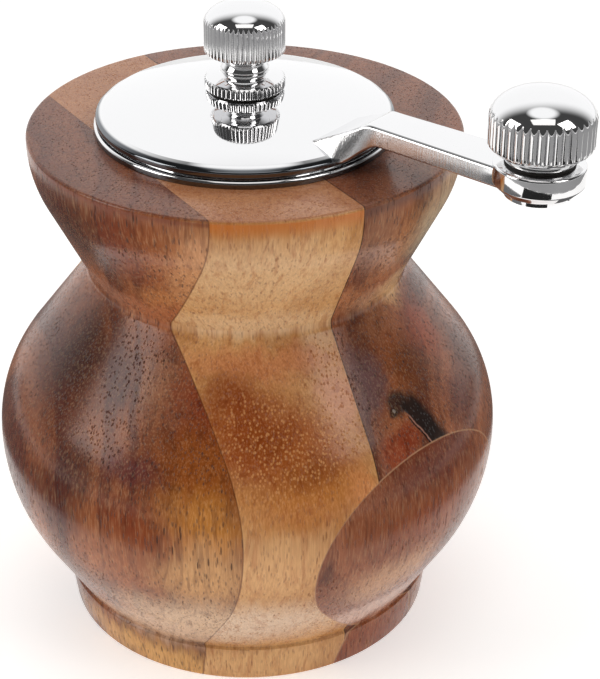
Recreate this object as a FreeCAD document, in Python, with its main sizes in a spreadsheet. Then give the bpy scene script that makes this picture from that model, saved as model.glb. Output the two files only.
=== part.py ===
import FreeCAD, Part
import math
import os
import Sketcher

# A table crank mill: a turned body of glued hardwood boards with a chromed crank lid on top.
# A square shaft runs down the middle to a conical burr that turns inside a fixed ring burr,
# and a knurled knob on the shaft's top thread sets how close the two burrs stand.
# Millimetres, +Z up the shaft, origin at the centre of the foot, crank arm along +X.

SIZES = {
    # turned wooden body
    "body_height": 97.7,
    "rim_radius": 39.0,
    "rim_round": 1.2,
    "collar_arc": 21.25,
    "waist_radius": 28.8,
    "waist_height": 71.0,
    "waist_round": 2.0,
    "bulb_radius": 47.15,
    "bulb_height": 37.7,
    "shoulder_arc": 26.5,
    "belly_arc": 35.9,
    "bulb_root_radius": 35.3,
    "bulb_root_height": 7.9,
    "foot_height": 7.4,
    "foot_top_radius": 35.7,
    "foot_radius": 34.7,
    # glued boards
    "board_width": 24.5,
    "board_angle": 70.0,
    "side_piece_offset": 32.0,
    "side_piece_angle": -4.8,
    "side_piece_tilt": 13.2,
    # bores in the wood
    "foot_recess_step": 2.5,
    "foot_recess_depth": 8.0,
    "burr_ledge_width": 4.0,
    "burr_ledge_height": 14.5,
    "burr_bore_radius": 21.0,
    "burr_bore_top": 29.5,
    "hopper_radius": 17.5,
    "bridge_seat_radius": 21.5,
    "bridge_seat_depth": 9.0,
    # clearances
    "fit_gap": 0.05,
    "slip_gap": 0.2,
    "face_gap": 0.05,
    # bezel ring on the rim
    "bezel_radius": 27.0,
    "bezel_plate": 0.8,
    "bezel_bead_height": 1.3,
    "bezel_bead_width": 1.1,
    "bezel_groove_width": 0.9,
    "bezel_groove_depth": 0.35,
    "bezel_skirt_wall": 1.0,
    "bezel_skirt_depth": 5.4,
    # upper bridge and its bearing
    "bridge_plate": 2.0,
    "bridge_arm_width": 6.0,
    "bridge_hub_wall": 2.5,
    "bridge_hub_height": 6.0,
    "thrust_washer_plate": 0.5,
    "bush_wall": 2.5,
    "bush_flange_width": 2.5,
    "bush_flange_plate": 1.3,
    "bush_below_hub": 0.6,
    # screws
    "wood_screw_radius": 1.0,
    "wood_screw_head_radius": 1.85,
    "wood_screw_head_height": 1.4,
    "wood_screw_length": 9.0,
    "screw_slot_width": 0.5,
    "screw_slot_depth": 0.6,
    # shaft
    "shaft_flat": 6.0,
    "shaft_square_above_rim": 6.0,
    "shaft_thread_radius": 2.5,
    "shaft_thread_above_rim": 15.5,
    "journal_radius": 2.0,
    "clip_groove_bite": 0.15,
    "clip_plate": 0.8,
    "clip_width": 2.6,
    "clip_mouth": 5.0,
    "spring_wire_radius": 0.6,
    "spring_inset": 0.1,
    "spring_height": 14.0,
    "spring_turns": 5.0,
    "washer_overhang": 1.0,
    "washer_plate": 0.5,
    # crank lid, heights above the rim face
    "lid_inset": 0.4,
    "lid_rim_bottom": 1.7,
    "lid_rim_top": 2.7,
    "lid_edge_step": 1.3,
    "lid_edge_height": 3.55,
    "lid_dome_arc": 88.0,
    "lid_seat_height": 7.05,
    "lid_seat_radius": 6.8,
    "lid_wall": 1.7,
    "lid_hub_wall": 4.5,
    "crank_throw": 61.3,
    "arm_top": 9.5,
    "arm_thickness": 3.5,
    "arm_bend_reach": 3.4,
    "arm_root_inset": 5.4,
    "arm_root_half_width": 6.8,
    "arm_bend_half_width": 4.0,
    "arm_eye_half_width": 4.8,
    "eye_radius": 7.6,
    "eye_top": 10.6,
    "eye_bottom_chamfer": 1.3,
    # crank knob, heights above the rim face
    "knob_radius": 8.65,
    "knob_skirt_bottom": 13.0,
    "knob_rib_bottom": 13.85,
    "knob_rib_top": 18.3,
    "knob_top": 23.1,
    "knob_neck_radius": 6.0,
    "knob_washer_plate": 0.4,
    "knob_rib_count": 40,
    "rib_depth": 0.35,
    "flute_radius": 0.5,
    "neck_flare": 1.2,
    "knob_screw_radius": 3.0,
    "knob_screw_thread_radius": 2.0,
    "knob_screw_depth": 8.5,
    "knob_screw_head_radius": 5.6,
    "knob_screw_head_height": 0.9,
    # adjuster knob, heights above the rim face
    "adjuster_radius": 7.15,
    "adjuster_flange_top": 9.45,
    "adjuster_neck_radius": 4.07,
    "adjuster_neck_bottom": 10.4,
    "adjuster_neck_top": 11.8,
    "adjuster_bead_at": 12.6,
    "adjuster_skirt_bottom": 14.0,
    "adjuster_rib_top": 19.4,
    "adjuster_top": 23.1,
    "adjuster_bore_top": 17.5,
    "adjuster_rib_count": 49,
    "friction_washer_radius": 6.6,
    "friction_washer_plate": 0.25,
    # burrs, heights above the ledge that the burr carrier bears on
    "carrier_plate": 2.0,
    "carrier_wall": 2.2,
    "carrier_lip": 1.8,
    "lower_bridge_plate": 2.0,
    "lower_arm_width": 5.0,
    "lower_hub_radius": 5.5,
    "lower_hub_height": 3.8,
    "lower_bush_radius": 3.6,
    "lower_bush_flange_radius": 4.6,
    "lower_bush_flange_plate": 0.6,
    "ring_mouth_wall": 3.1,
    "ring_cone_width": 3.6,
    "ring_skirt_wall": 4.4,
    "burr_slope": 0.714,
    "burr_gap": 0.8,
    "cone_foot_above_bridge": 2.4,
    "cone_skirt_height": 1.0,
    "cone_height": 11.8,
    "cone_taper_width": 7.1,
    "burr_tooth_width": 1.5,
    "burr_tooth_depth": 1.2,
    "burr_tooth_lean": 18.0,
    "burr_nut_flat": 8.0,
    "burr_nut_height": 2.7,
    "nut_recess": 0.3,
    "thread_past_nut": 0.6,
    "journal_shortfall": 0.9,
    "lower_bridge_width": 8.6,
}

# counts, the azimuth of the first screw in degrees, how far a cut or an overlap runs past
# the face it has to clear, the bead's rounding as a share of its width, and how far the arm's
# root narrows by the lid's edge
SCREW_COUNT = 3
SCREW_TURN = 60.0
CONE_TOOTH_COUNT = 16
RING_TOOTH_COUNT = 20
OVERRUN = 1.0
BEAD_ROUND_SHARE = 0.45
ARM_ROOT_TAPER = 0.9

doc = FreeCAD.newDocument("crank_mill")
sheet = doc.addObject("Spreadsheet::Sheet", "Sizes")
for row, (size_name, size_value) in enumerate(SIZES.items(), start=1):
    sheet.set(f"A{row}", size_name)
    sheet.set(f"B{row}", str(size_value))
    sheet.setAlias(f"B{row}", size_name)
doc.recompute()


class Size:
    """A number that also carries the sheet formula that it comes from."""

    def __init__(self, value, formula):
        self.value = float(value)
        self.formula = formula

    def joined(self, other, sign, value, turned=False):
        """The size that a sum or product with another size or number gives."""
        texts = [self.formula, other.formula if isinstance(other, Size) else repr(other)]
        if turned:
            texts.reverse()
        return Size(value, f"({texts[0]} {sign} {texts[1]})")

    def __add__(self, other):
        return self.joined(other, "+", self.value + plain(other))

    def __radd__(self, other):
        return self + other

    def __sub__(self, other):
        return self.joined(other, "-", self.value - plain(other))

    def __rsub__(self, other):
        return self.joined(other, "-", plain(other) - self.value, turned=True)

    def __mul__(self, other):
        return self.joined(other, "*", self.value * plain(other))

    def __rmul__(self, other):
        return self * other

    def __truediv__(self, other):
        return self.joined(other, "/", self.value / plain(other))

    def __neg__(self):
        return self * -1


def plain(size):
    """The number behind a size."""
    return size.value if isinstance(size, Size) else float(size)


class Named:
    """Every driving size by its name."""


d = Named()
for size_name, size_value in SIZES.items():
    setattr(d, size_name, Size(size_value, f"Sizes.{size_name}"))

nodes = []


def bind(item, path, size):
    """Set a property from a size and tie it to the sheet."""
    if "." not in path and not path.startswith("Constraints"):
        setattr(item, path, plain(size))
    if isinstance(size, Size):
        item.setExpression(path, size.formula)


def keep(item, label):
    """List an object as one node of the mill, under its own name."""
    item.Label = label
    nodes.append(item)
    return item


# ---------------------------------------------------------------- sketches and features

def new_body(label):
    """A PartDesign body that isn't a node yet."""
    body = doc.addObject("PartDesign::Body", label + "_body")
    body.Label = label + "_body"
    return body


def origin_feature(body, role):
    """A body's own base plane or axis."""
    return next(f for f in body.Origin.OriginFeatures if f.Role == role)


def new_sketch(body, name, role="XZ_Plane", offset=0.0):
    """A sketch on one of the body's base planes, raised along the plane's normal."""
    sketch = body.newObject("Sketcher::SketchObject", name)
    sketch.AttachmentSupport = [(origin_feature(body, role), "")]
    sketch.MapMode = "FlatFace"
    bind(sketch, "AttachmentOffset.Base.z", offset)
    return sketch


def pin_point(sketch, geometry, point, x, y):
    """Hold one point of a sketch at x, y from the sketch's origin."""
    for kind, size in (("DistanceX", x), ("DistanceY", y)):
        index = sketch.addConstraint(Sketcher.Constraint(kind, -1, 1, geometry, point, plain(size)))
        bind(sketch, f"Constraints[{index}]", size)


def pin_radius(sketch, geometry, radius):
    """Hold a circle's or an arc's radius."""
    index = sketch.addConstraint(Sketcher.Constraint("Radius", geometry, plain(radius)))
    bind(sketch, f"Constraints[{index}]", radius)


def flat_point(x, y):
    """A sketch point as a vector."""
    return FreeCAD.Vector(plain(x), plain(y), 0)


def line(start, end):
    """A straight sketch edge."""
    return Part.LineSegment(flat_point(*start), flat_point(*end))


def arc(x, y, radius, start, end):
    """A sketch arc about x, y that runs counterclockwise from start to end."""
    circle = Part.Circle(flat_point(x, y), FreeCAD.Vector(0, 0, 1), plain(radius))
    angles = [math.atan2(plain(p[1]) - plain(y), plain(p[0]) - plain(x)) for p in (start, end)]
    return Part.ArcOfCircle(circle, angles[0], angles[1])


def arc_between(start, end, radius):
    """The short arc from start to end, its centre on the left for a positive radius."""
    run = plain(end[0]) - plain(start[0])
    rise = plain(end[1]) - plain(start[1])
    chord = math.hypot(run, rise)
    side = math.sqrt(plain(radius) ** 2 - (chord / 2) ** 2) / chord
    if plain(radius) < 0:
        side = -side
    x = (plain(start[0]) + plain(end[0])) / 2 - rise * side
    y = (plain(start[1]) + plain(end[1])) / 2 + run * side
    if plain(radius) < 0:
        return arc(x, y, -plain(radius), end, start)
    return arc(x, y, radius, start, end)


def draw_outline(sketch, corners):
    """A closed outline. A corner's third value, if any, is the radius of the arc that leaves it."""
    first = sketch.GeometryCount
    count = len(corners)
    starts = []
    for i, corner in enumerate(corners):
        after = corners[(i + 1) % count]
        is_arc = len(corner) > 2
        backwards = is_arc and plain(corner[2]) < 0
        edge = arc_between(corner, after, corner[2]) if is_arc else line(corner[:2], after[:2])
        sketch.addGeometry(edge)
        starts.append(2 if backwards else 1)
    for i, corner in enumerate(corners):
        before = (i - 1) % count
        ends = Sketcher.Constraint("Coincident", first + before, 3 - starts[before], first + i, starts[i])
        sketch.addConstraint(ends)
        pin_point(sketch, first + i, starts[i], corner[0], corner[1])
        if len(corner) > 2:
            pin_radius(sketch, first + i, corner[2] if plain(corner[2]) > 0 else -corner[2])


def draw_circle(sketch, radius, x=0.0, y=0.0):
    """A circle of the given radius about x, y."""
    circle = Part.Circle(flat_point(x, y), FreeCAD.Vector(0, 0, 1), plain(radius))
    index = sketch.addGeometry(circle)
    pin_point(sketch, index, 3, x, y)
    pin_radius(sketch, index, radius)


def draw_rectangle(sketch, low_x, low_y, high_x, high_y):
    """An upright rectangle between two corners."""
    draw_outline(sketch, [(low_x, low_y), (high_x, low_y), (high_x, high_y), (low_x, high_y)])


def revolve(body, sketch, name, cut=False):
    """Turn a sketch a full circle about the mill's axis, as material or as a cut."""
    kind = "PartDesign::Groove" if cut else "PartDesign::Revolution"
    feature = body.newObject(kind, name)
    feature.Profile = sketch
    feature.ReferenceAxis = (sketch, ["V_Axis"])
    feature.Angle = 360
    sketch.Visibility = False
    return feature


def extrude(body, sketch, name, length, cut=False, turned=False):
    """Pad or pocket a sketch along its normal, or against it when turned."""
    feature = body.newObject("PartDesign::Pocket" if cut else "PartDesign::Pad", name)
    feature.Profile = sketch
    bind(feature, "Length", length)
    feature.Reversed = turned
    sketch.Visibility = False
    return feature


def around(body, feature, name, count):
    """Repeat a feature evenly round the mill's axis."""
    pattern = body.newObject("PartDesign::PolarPattern", name)
    pattern.Originals = [feature]
    pattern.Axis = (origin_feature(body, "Z_Axis"), [""])
    pattern.Angle = 360
    pattern.Occurrences = int(plain(count))
    if isinstance(count, Size):
        pattern.setExpression("Occurrences", count.formula)
    body.Tip = pattern
    return pattern


def ring_edges(feature, wanted):
    """The names of a feature's circular edges at the wanted (radius, height) pairs."""
    doc.recompute()
    names = []
    for i, edge in enumerate(feature.Shape.Edges, start=1):
        curve = edge.Curve
        if not isinstance(curve, Part.Circle):
            continue
        for radius, height in wanted:
            near = abs(curve.Radius - plain(radius)) < 1e-3
            if near and abs(curve.Center.z - plain(height)) < 1e-3:
                names.append(f"Edge{i}")
    return names


def round_edges(body, feature, name, wanted, radius):
    """Fillet circular edges given by radius and height."""
    fillet = body.newObject("PartDesign::Fillet", name)
    fillet.Base = (feature, ring_edges(feature, wanted))
    bind(fillet, "Radius", radius)
    return fillet


def turned_part(label, outline, is_node=True):
    """A body turned from one closed outline of (radius, height) corners."""
    body = new_body(label)
    sketch = new_sketch(body, label + "_outline")
    draw_outline(sketch, outline)
    revolve(body, sketch, label + "_turning")
    if is_node:
        keep(body, label)
    return body


def ring_part(label, inner, outer, low, high, is_node=True):
    """A plain ring or washer between two heights."""
    corners = [(inner, low), (outer, low), (outer, high), (inner, high)]
    return turned_part(label, corners, is_node)


def cylinder(name, radius, low, height, x=0.0, y=0.0):
    """A plain upright cylinder."""
    item = doc.addObject("Part::Cylinder", name)
    bind(item, "Radius", radius)
    bind(item, "Height", height)
    item.Placement.Base = FreeCAD.Vector(plain(x), plain(y), plain(low))
    for path, size in (("x", x), ("y", y), ("z", low)):
        bind(item, f"Placement.Base.{path}", size)
    return item


def box(name, length, width, height):
    """A plain box with one corner at the origin."""
    item = doc.addObject("Part::Box", name)
    bind(item, "Length", length)
    bind(item, "Width", width)
    bind(item, "Height", height)
    return item


def boolean(kind, name, base, tool):
    """A cut, fuse or common of two objects."""
    item = doc.addObject("Part::" + kind, name)
    item.Base = base
    item.Tool = tool
    return item


def group(label, items):
    """Identical pieces as one node of separate solids."""
    item = doc.addObject("Part::Compound", label)
    item.Links = items
    return keep(item, label)


def circle_place(radius, angle):
    """The x and y of a place on a circle about the axis, tied to the circle's radius."""
    turn = math.radians(angle)
    return radius * math.cos(turn), radius * math.sin(turn)


# ---------------------------------------------------------------- levels that pieces share

rim = d.body_height
burr_ledge_radius = d.burr_bore_radius + d.burr_ledge_width
foot_recess_radius = burr_ledge_radius + d.foot_recess_step
bush_radius = d.shaft_flat / 2 + d.bush_wall
bush_flange_radius = bush_radius + d.bush_flange_width
bridge_hub_radius = bush_radius + d.bridge_hub_wall
spring_coil_radius = bush_radius - d.spring_inset
washer_radius = bush_radius + d.washer_overhang
clip_radius = d.shaft_flat / 2 + d.clip_width
clip_groove_radius = d.shaft_flat / 2 + d.clip_groove_bite
lid_hub_radius = d.shaft_flat / 2 + d.lid_hub_wall
lid_radius = d.bezel_radius - d.lid_inset
lid_edge_radius = lid_radius - d.lid_edge_step
arm_root_at = lid_radius - d.arm_root_inset
arm_bend_at = lid_radius + d.arm_bend_reach
ring_burr_radius = d.burr_bore_radius - d.fit_gap * 2 - d.carrier_wall
ring_mouth_radius = ring_burr_radius - d.ring_mouth_wall
ring_skirt_radius = ring_burr_radius - d.ring_skirt_wall
ring_throat_radius = ring_skirt_radius - d.ring_cone_width
cone_foot_radius = ring_skirt_radius - d.burr_gap
cone_top_radius = cone_foot_radius - d.cone_taper_width
lower_bridge_opening = burr_ledge_radius - d.slip_gap - d.lower_bridge_width
bridge_seat = rim - d.bridge_seat_depth
bridge_top = bridge_seat + d.bridge_plate
hub_top = bridge_seat + d.bridge_hub_height
washer_top = hub_top + d.thrust_washer_plate
flange_top = washer_top + d.bush_flange_plate
bush_bottom = bridge_seat - d.bush_below_hub
spring_top = bush_bottom - d.face_gap - d.washer_plate
spring_bottom = spring_top - d.spring_height
upper_clip_top = spring_bottom - d.washer_plate
lower_bridge_top = d.burr_ledge_height - d.carrier_plate
lower_bridge_bottom = lower_bridge_top - d.lower_bridge_plate
cone_foot = lower_bridge_top + d.cone_foot_above_bridge
cone_top = cone_foot + d.cone_height
nut_bottom = cone_foot + d.nut_recess
nut_top = nut_bottom + d.burr_nut_height
nut_corner = d.burr_nut_flat / 2 / math.cos(math.radians(30))
thread_end = nut_bottom - d.thread_past_nut
lower_hub_bottom = lower_bridge_top - d.lower_hub_height
journal_end = lower_hub_bottom + d.journal_shortfall
carrier_top = d.burr_bore_top - d.slip_gap
bridge_screw_circle = (d.hopper_radius + d.bridge_seat_radius) / 2
burr_screw_circle = (d.burr_bore_radius + burr_ledge_radius) / 2
square_hole_half = d.shaft_flat / 2 + d.fit_gap
shaft_corner = d.shaft_flat / 2 * math.sqrt(2)
lid_hub_bottom = flange_top + d.face_gap
eye_bottom = rim + d.arm_top - d.arm_thickness
knob_bottom = rim + d.eye_top + d.face_gap * 2 + d.knob_washer_plate
adjuster_bottom = rim + d.lid_seat_height + d.face_gap + d.friction_washer_plate


# ---------------------------------------------------------------- wooden body

def tangent_point(x, y, radius, from_x, from_y):
    """Where the outer tangent from a point touches a circle about x, y."""
    run = plain(from_x) - plain(x)
    rise = plain(from_y) - plain(y)
    spread = math.acos(plain(radius) / math.hypot(run, rise))
    angle = math.atan2(rise, run) + (spread if rise < 0 else -spread)
    return plain(x) + plain(radius) * math.cos(angle), plain(y) + plain(radius) * math.sin(angle)


def draw_turned_outline(sketch):
    """The body's outline: foot, straight belly into two arcs, waist, and the flaring collar."""
    equator = (d.bulb_radius, d.bulb_height)
    waist = (d.waist_radius, d.waist_height)
    root = (d.bulb_root_radius, d.bulb_root_height)
    collar_end = (d.rim_radius, rim - d.rim_round)
    belly = (d.bulb_radius - d.belly_arc, d.bulb_height, d.belly_arc)
    shoulder = (d.bulb_radius - d.shoulder_arc, d.bulb_height, d.shoulder_arc)
    collar = (d.rim_radius - d.collar_arc, rim - d.rim_round, d.collar_arc)
    belly_touch = tangent_point(*belly, *root)
    shoulder_touch = tangent_point(*shoulder, *waist)
    collar_touch = tangent_point(*collar, *waist)
    centre_foot = (0.0, 0.0)
    foot = (d.foot_radius, 0.0)
    foot_top = (d.foot_top_radius, d.foot_height)
    rim_edge = (d.rim_radius, rim)
    rim_centre = (0.0, rim)
    chain = [
        line(centre_foot, foot),
        line(foot, foot_top),
        line(foot_top, root),
        line(root, belly_touch),
        arc(*belly, belly_touch, equator),
        arc(*shoulder, equator, shoulder_touch),
        line(shoulder_touch, waist),
        line(waist, collar_touch),
        arc(*collar, collar_touch, collar_end),
        line(collar_end, rim_edge),
        line(rim_edge, rim_centre),
        line(rim_centre, centre_foot),
    ]
    for edge in chain:
        sketch.addGeometry(edge)
    smooth_joins = {3, 5, 7}
    for i in range(len(chain)):
        kind = "Tangent" if i in smooth_joins else "Coincident"
        sketch.addConstraint(Sketcher.Constraint(kind, i, 2, (i + 1) % len(chain), 1))
    held = {0: centre_foot, 1: foot, 2: foot_top, 3: root, 5: equator, 7: waist,
            9: collar_end, 10: rim_edge, 11: rim_centre}
    for geometry, place in held.items():
        pin_point(sketch, geometry, 1, *place)
    for geometry, circle in ((4, belly), (5, shoulder), (8, collar)):
        pin_radius(sketch, geometry, circle[2])
        level = sketch.addConstraint(
            Sketcher.Constraint("DistanceY", -1, 1, geometry, 3, plain(circle[1])))
        bind(sketch, f"Constraints[{level}]", circle[1])


def screw_pilots(body, name, circle, level, depth, upward):
    """Blind holes for the wood screws, round the bore."""
    sketch = new_sketch(body, name + "_place", "XY_Plane", level)
    draw_circle(sketch, d.wood_screw_radius + d.fit_gap, *circle_place(circle, SCREW_TURN))
    hole = extrude(body, sketch, name + "_hole", depth, cut=True, turned=upward)
    return around(body, hole, name, SCREW_COUNT)


def make_turned_blank():
    """The glued-up blank after turning and boring, before it is told apart into its boards."""
    body = new_body("turned_blank")
    outside = new_sketch(body, "turned_outline")
    draw_turned_outline(outside)
    revolve(body, outside, "turning")
    bore = new_sketch(body, "bore_outline")
    draw_outline(bore, [
        (0.0, -OVERRUN),
        (foot_recess_radius, -OVERRUN),
        (foot_recess_radius, d.foot_recess_depth),
        (burr_ledge_radius, d.foot_recess_depth),
        (burr_ledge_radius, d.burr_ledge_height),
        (d.burr_bore_radius, d.burr_ledge_height),
        (d.burr_bore_radius, d.burr_bore_top),
        (d.hopper_radius, d.burr_bore_top),
        (d.hopper_radius, bridge_seat),
        (d.bridge_seat_radius, bridge_seat),
        (d.bridge_seat_radius, rim + OVERRUN),
        (0.0, rim + OVERRUN),
    ])
    boring = revolve(body, bore, "boring", cut=True)
    rounded = round_edges(body, boring, "rim_rounding", [(d.rim_radius, rim)],
                          d.rim_round - d.fit_gap)
    round_edges(body, rounded, "waist_rounding", [(d.waist_radius, d.waist_height)], d.waist_round)
    screw_pilots(body, "bridge_pilots", bridge_screw_circle, bridge_seat,
                 d.wood_screw_length - d.bridge_plate + d.slip_gap, upward=False)
    screw_pilots(body, "burr_pilots", burr_screw_circle, d.burr_ledge_height,
                 d.wood_screw_length - d.lower_bridge_plate - d.carrier_plate + d.slip_gap,
                 upward=True)
    return body


def half_space(name, offset, thickness, rotation):
    """A large block that starts at an offset along its own turned x axis."""
    reach = rim * 3
    item = box(name, thickness, reach, reach)
    corner = FreeCAD.Vector(plain(offset), -plain(reach) / 2, -plain(reach) / 2)
    item.Placement = FreeCAD.Placement(rotation.multVec(corner), rotation)
    return item


def make_boards(blank):
    """The four glued boards that the blank is made of."""
    upright = FreeCAD.Rotation(FreeCAD.Vector(0, 0, 1), SIZES["board_angle"])
    around_post = FreeCAD.Rotation(FreeCAD.Vector(0, 0, 1), SIZES["side_piece_angle"])
    leaning = around_post * FreeCAD.Rotation(FreeCAD.Vector(0, 1, 0), SIZES["side_piece_tilt"])
    far = rim * 1.5
    beyond_left = half_space("left_slab", -far, far - d.board_width, upright)
    between = half_space("middle_slab", -d.board_width, d.board_width, upright)
    beyond_right = half_space("right_slab", 0.0, far, upright)
    keep(boolean("Common", "left_board", blank, beyond_left), "left_board")
    side = half_space("side_slab", d.side_piece_offset, far, leaning)
    keep(boolean("Common", "side_board", blank, side), "side_board")
    for label, slab in (("middle_board", between), ("right_board", beyond_right)):
        whole = boolean("Common", label + "_whole", blank, slab)
        keep(boolean("Cut", label, whole, side), label)


# ---------------------------------------------------------------- bezel, upper bridge, bearing

def make_bezel_ring():
    """The chromed ring that lines the rim of the bore and frames the lid."""
    skirt = d.bridge_seat_radius - d.fit_gap
    inside = skirt - d.bezel_skirt_wall
    bead_inside = d.bezel_radius - d.bezel_bead_width
    groove_inside = bead_inside - d.bezel_groove_width
    plate_top = rim + d.bezel_plate
    bead_top = rim + d.bezel_bead_height
    body = turned_part("bezel_ring", [
        (inside, rim - d.bezel_skirt_depth),
        (skirt, rim - d.bezel_skirt_depth),
        (skirt, rim),
        (d.bezel_radius, rim),
        (d.bezel_radius, bead_top),
        (bead_inside, bead_top),
        (bead_inside, plate_top - d.bezel_groove_depth),
        (groove_inside, plate_top - d.bezel_groove_depth),
        (groove_inside, plate_top),
        (inside, plate_top),
    ])
    bead = [(d.bezel_radius, bead_top), (bead_inside, bead_top)]
    round_edges(body, body.Tip, "bezel_bead_rounding", bead, d.bezel_bead_width * BEAD_ROUND_SHARE)


def turned_corner(x, y, angle):
    """A point turned about the axis, tied to the sizes that place it."""
    turn = math.radians(angle)
    return x * math.cos(turn) - y * math.sin(turn), x * math.sin(turn) + y * math.cos(turn)


def make_spoked_plate(label, outer, inner, low, plate, hub, hub_low, hub_height, arm_width,
                      bore, screw_circle):
    """A ring with three arms that carry a bored hub, and a screw hole over each arm's root."""
    body = new_body(label)
    rim_sketch = new_sketch(body, label + "_ring_outline", "XY_Plane", low)
    draw_circle(rim_sketch, outer)
    draw_circle(rim_sketch, inner)
    extrude(body, rim_sketch, label + "_ring", plate)
    arm_sketch = new_sketch(body, label + "_arm_outline", "XY_Plane", low)
    corners = [(hub - OVERRUN, -arm_width / 2), (inner + OVERRUN, -arm_width / 2),
               (inner + OVERRUN, arm_width / 2), (hub - OVERRUN, arm_width / 2)]
    draw_outline(arm_sketch, [turned_corner(x, y, SCREW_TURN) for x, y in corners])
    arm = extrude(body, arm_sketch, label + "_arm", plate)
    around(body, arm, label + "_arms", SCREW_COUNT)
    hub_sketch = new_sketch(body, label + "_hub_outline", "XY_Plane", hub_low)
    draw_circle(hub_sketch, hub)
    extrude(body, hub_sketch, label + "_hub", hub_height)
    bore_sketch = new_sketch(body, label + "_bore_outline", "XY_Plane", hub_low)
    draw_circle(bore_sketch, bore)
    extrude(body, bore_sketch, label + "_bore", hub_height, cut=True, turned=True)
    screw_sketch = new_sketch(body, label + "_screw_place", "XY_Plane", low)
    draw_circle(screw_sketch, d.wood_screw_radius + d.slip_gap,
                *circle_place(screw_circle, SCREW_TURN))
    screw_hole = extrude(body, screw_sketch, label + "_screw_hole", plate, cut=True, turned=True)
    around(body, screw_hole, label + "_screw_holes", SCREW_COUNT)
    return keep(body, label)


def make_drive_bush():
    """The square-bored bush that turns in the upper bridge and keeps the shaft upright."""
    body = turned_part("drive_bush", [
        (0.0, bush_bottom),
        (bush_radius, bush_bottom),
        (bush_radius, washer_top),
        (bush_flange_radius, washer_top),
        (bush_flange_radius, flange_top),
        (0.0, flange_top),
    ])
    square_bore(body, "drive_bush_square", bush_bottom, flange_top - bush_bottom)


def square_bore(body, name, low, length):
    """A square hole that slides on the shaft."""
    sketch = new_sketch(body, name + "_outline", "XY_Plane", low)
    half = square_hole_half
    draw_rectangle(sketch, -half, -half, half, half)
    return extrude(body, sketch, name, length, cut=True, turned=True)


def make_screw(name, x, y, seat, upward):
    """A slotted wood screw whose head bears on the seat, pointing up or down."""
    length = d.wood_screw_length
    shank_low = seat if upward else seat - length
    head_low = seat - d.wood_screw_head_height if upward else seat
    slot_low = head_low if upward else head_low + d.wood_screw_head_height - d.screw_slot_depth
    shank = cylinder(name + "_shank", d.wood_screw_radius, shank_low, length, x, y)
    head = cylinder(name + "_head", d.wood_screw_head_radius, head_low,
                    d.wood_screw_head_height, x, y)
    whole = boolean("Fuse", name + "_blank", shank, head)
    slot = box(name + "_slot", d.wood_screw_head_radius * 2, d.screw_slot_width, d.screw_slot_depth)
    for path, size in (("x", x - d.wood_screw_head_radius), ("y", y - d.screw_slot_width / 2),
                       ("z", slot_low)):
        bind(slot, f"Placement.Base.{path}", size)
    return boolean("Cut", name, whole, slot)


def make_screws(label, circle, seat, upward):
    """Three like screws round the axis."""
    screws = []
    for i in range(SCREW_COUNT):
        x, y = circle_place(circle, SCREW_TURN + 360.0 * i / SCREW_COUNT)
        screws.append(make_screw(f"{label}_{i + 1}", x, y, seat, upward))
    group(label, screws)


# ---------------------------------------------------------------- crank lid and its knob

def extruded_outline(name, role, corners, offset, length):
    """A solid pushed straight out of one closed outline, used as a tool."""
    body = new_body(name)
    sketch = new_sketch(body, name + "_outline", role, offset)
    draw_outline(sketch, corners)
    extrude(body, sketch, name + "_pad", length)
    return body


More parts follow.
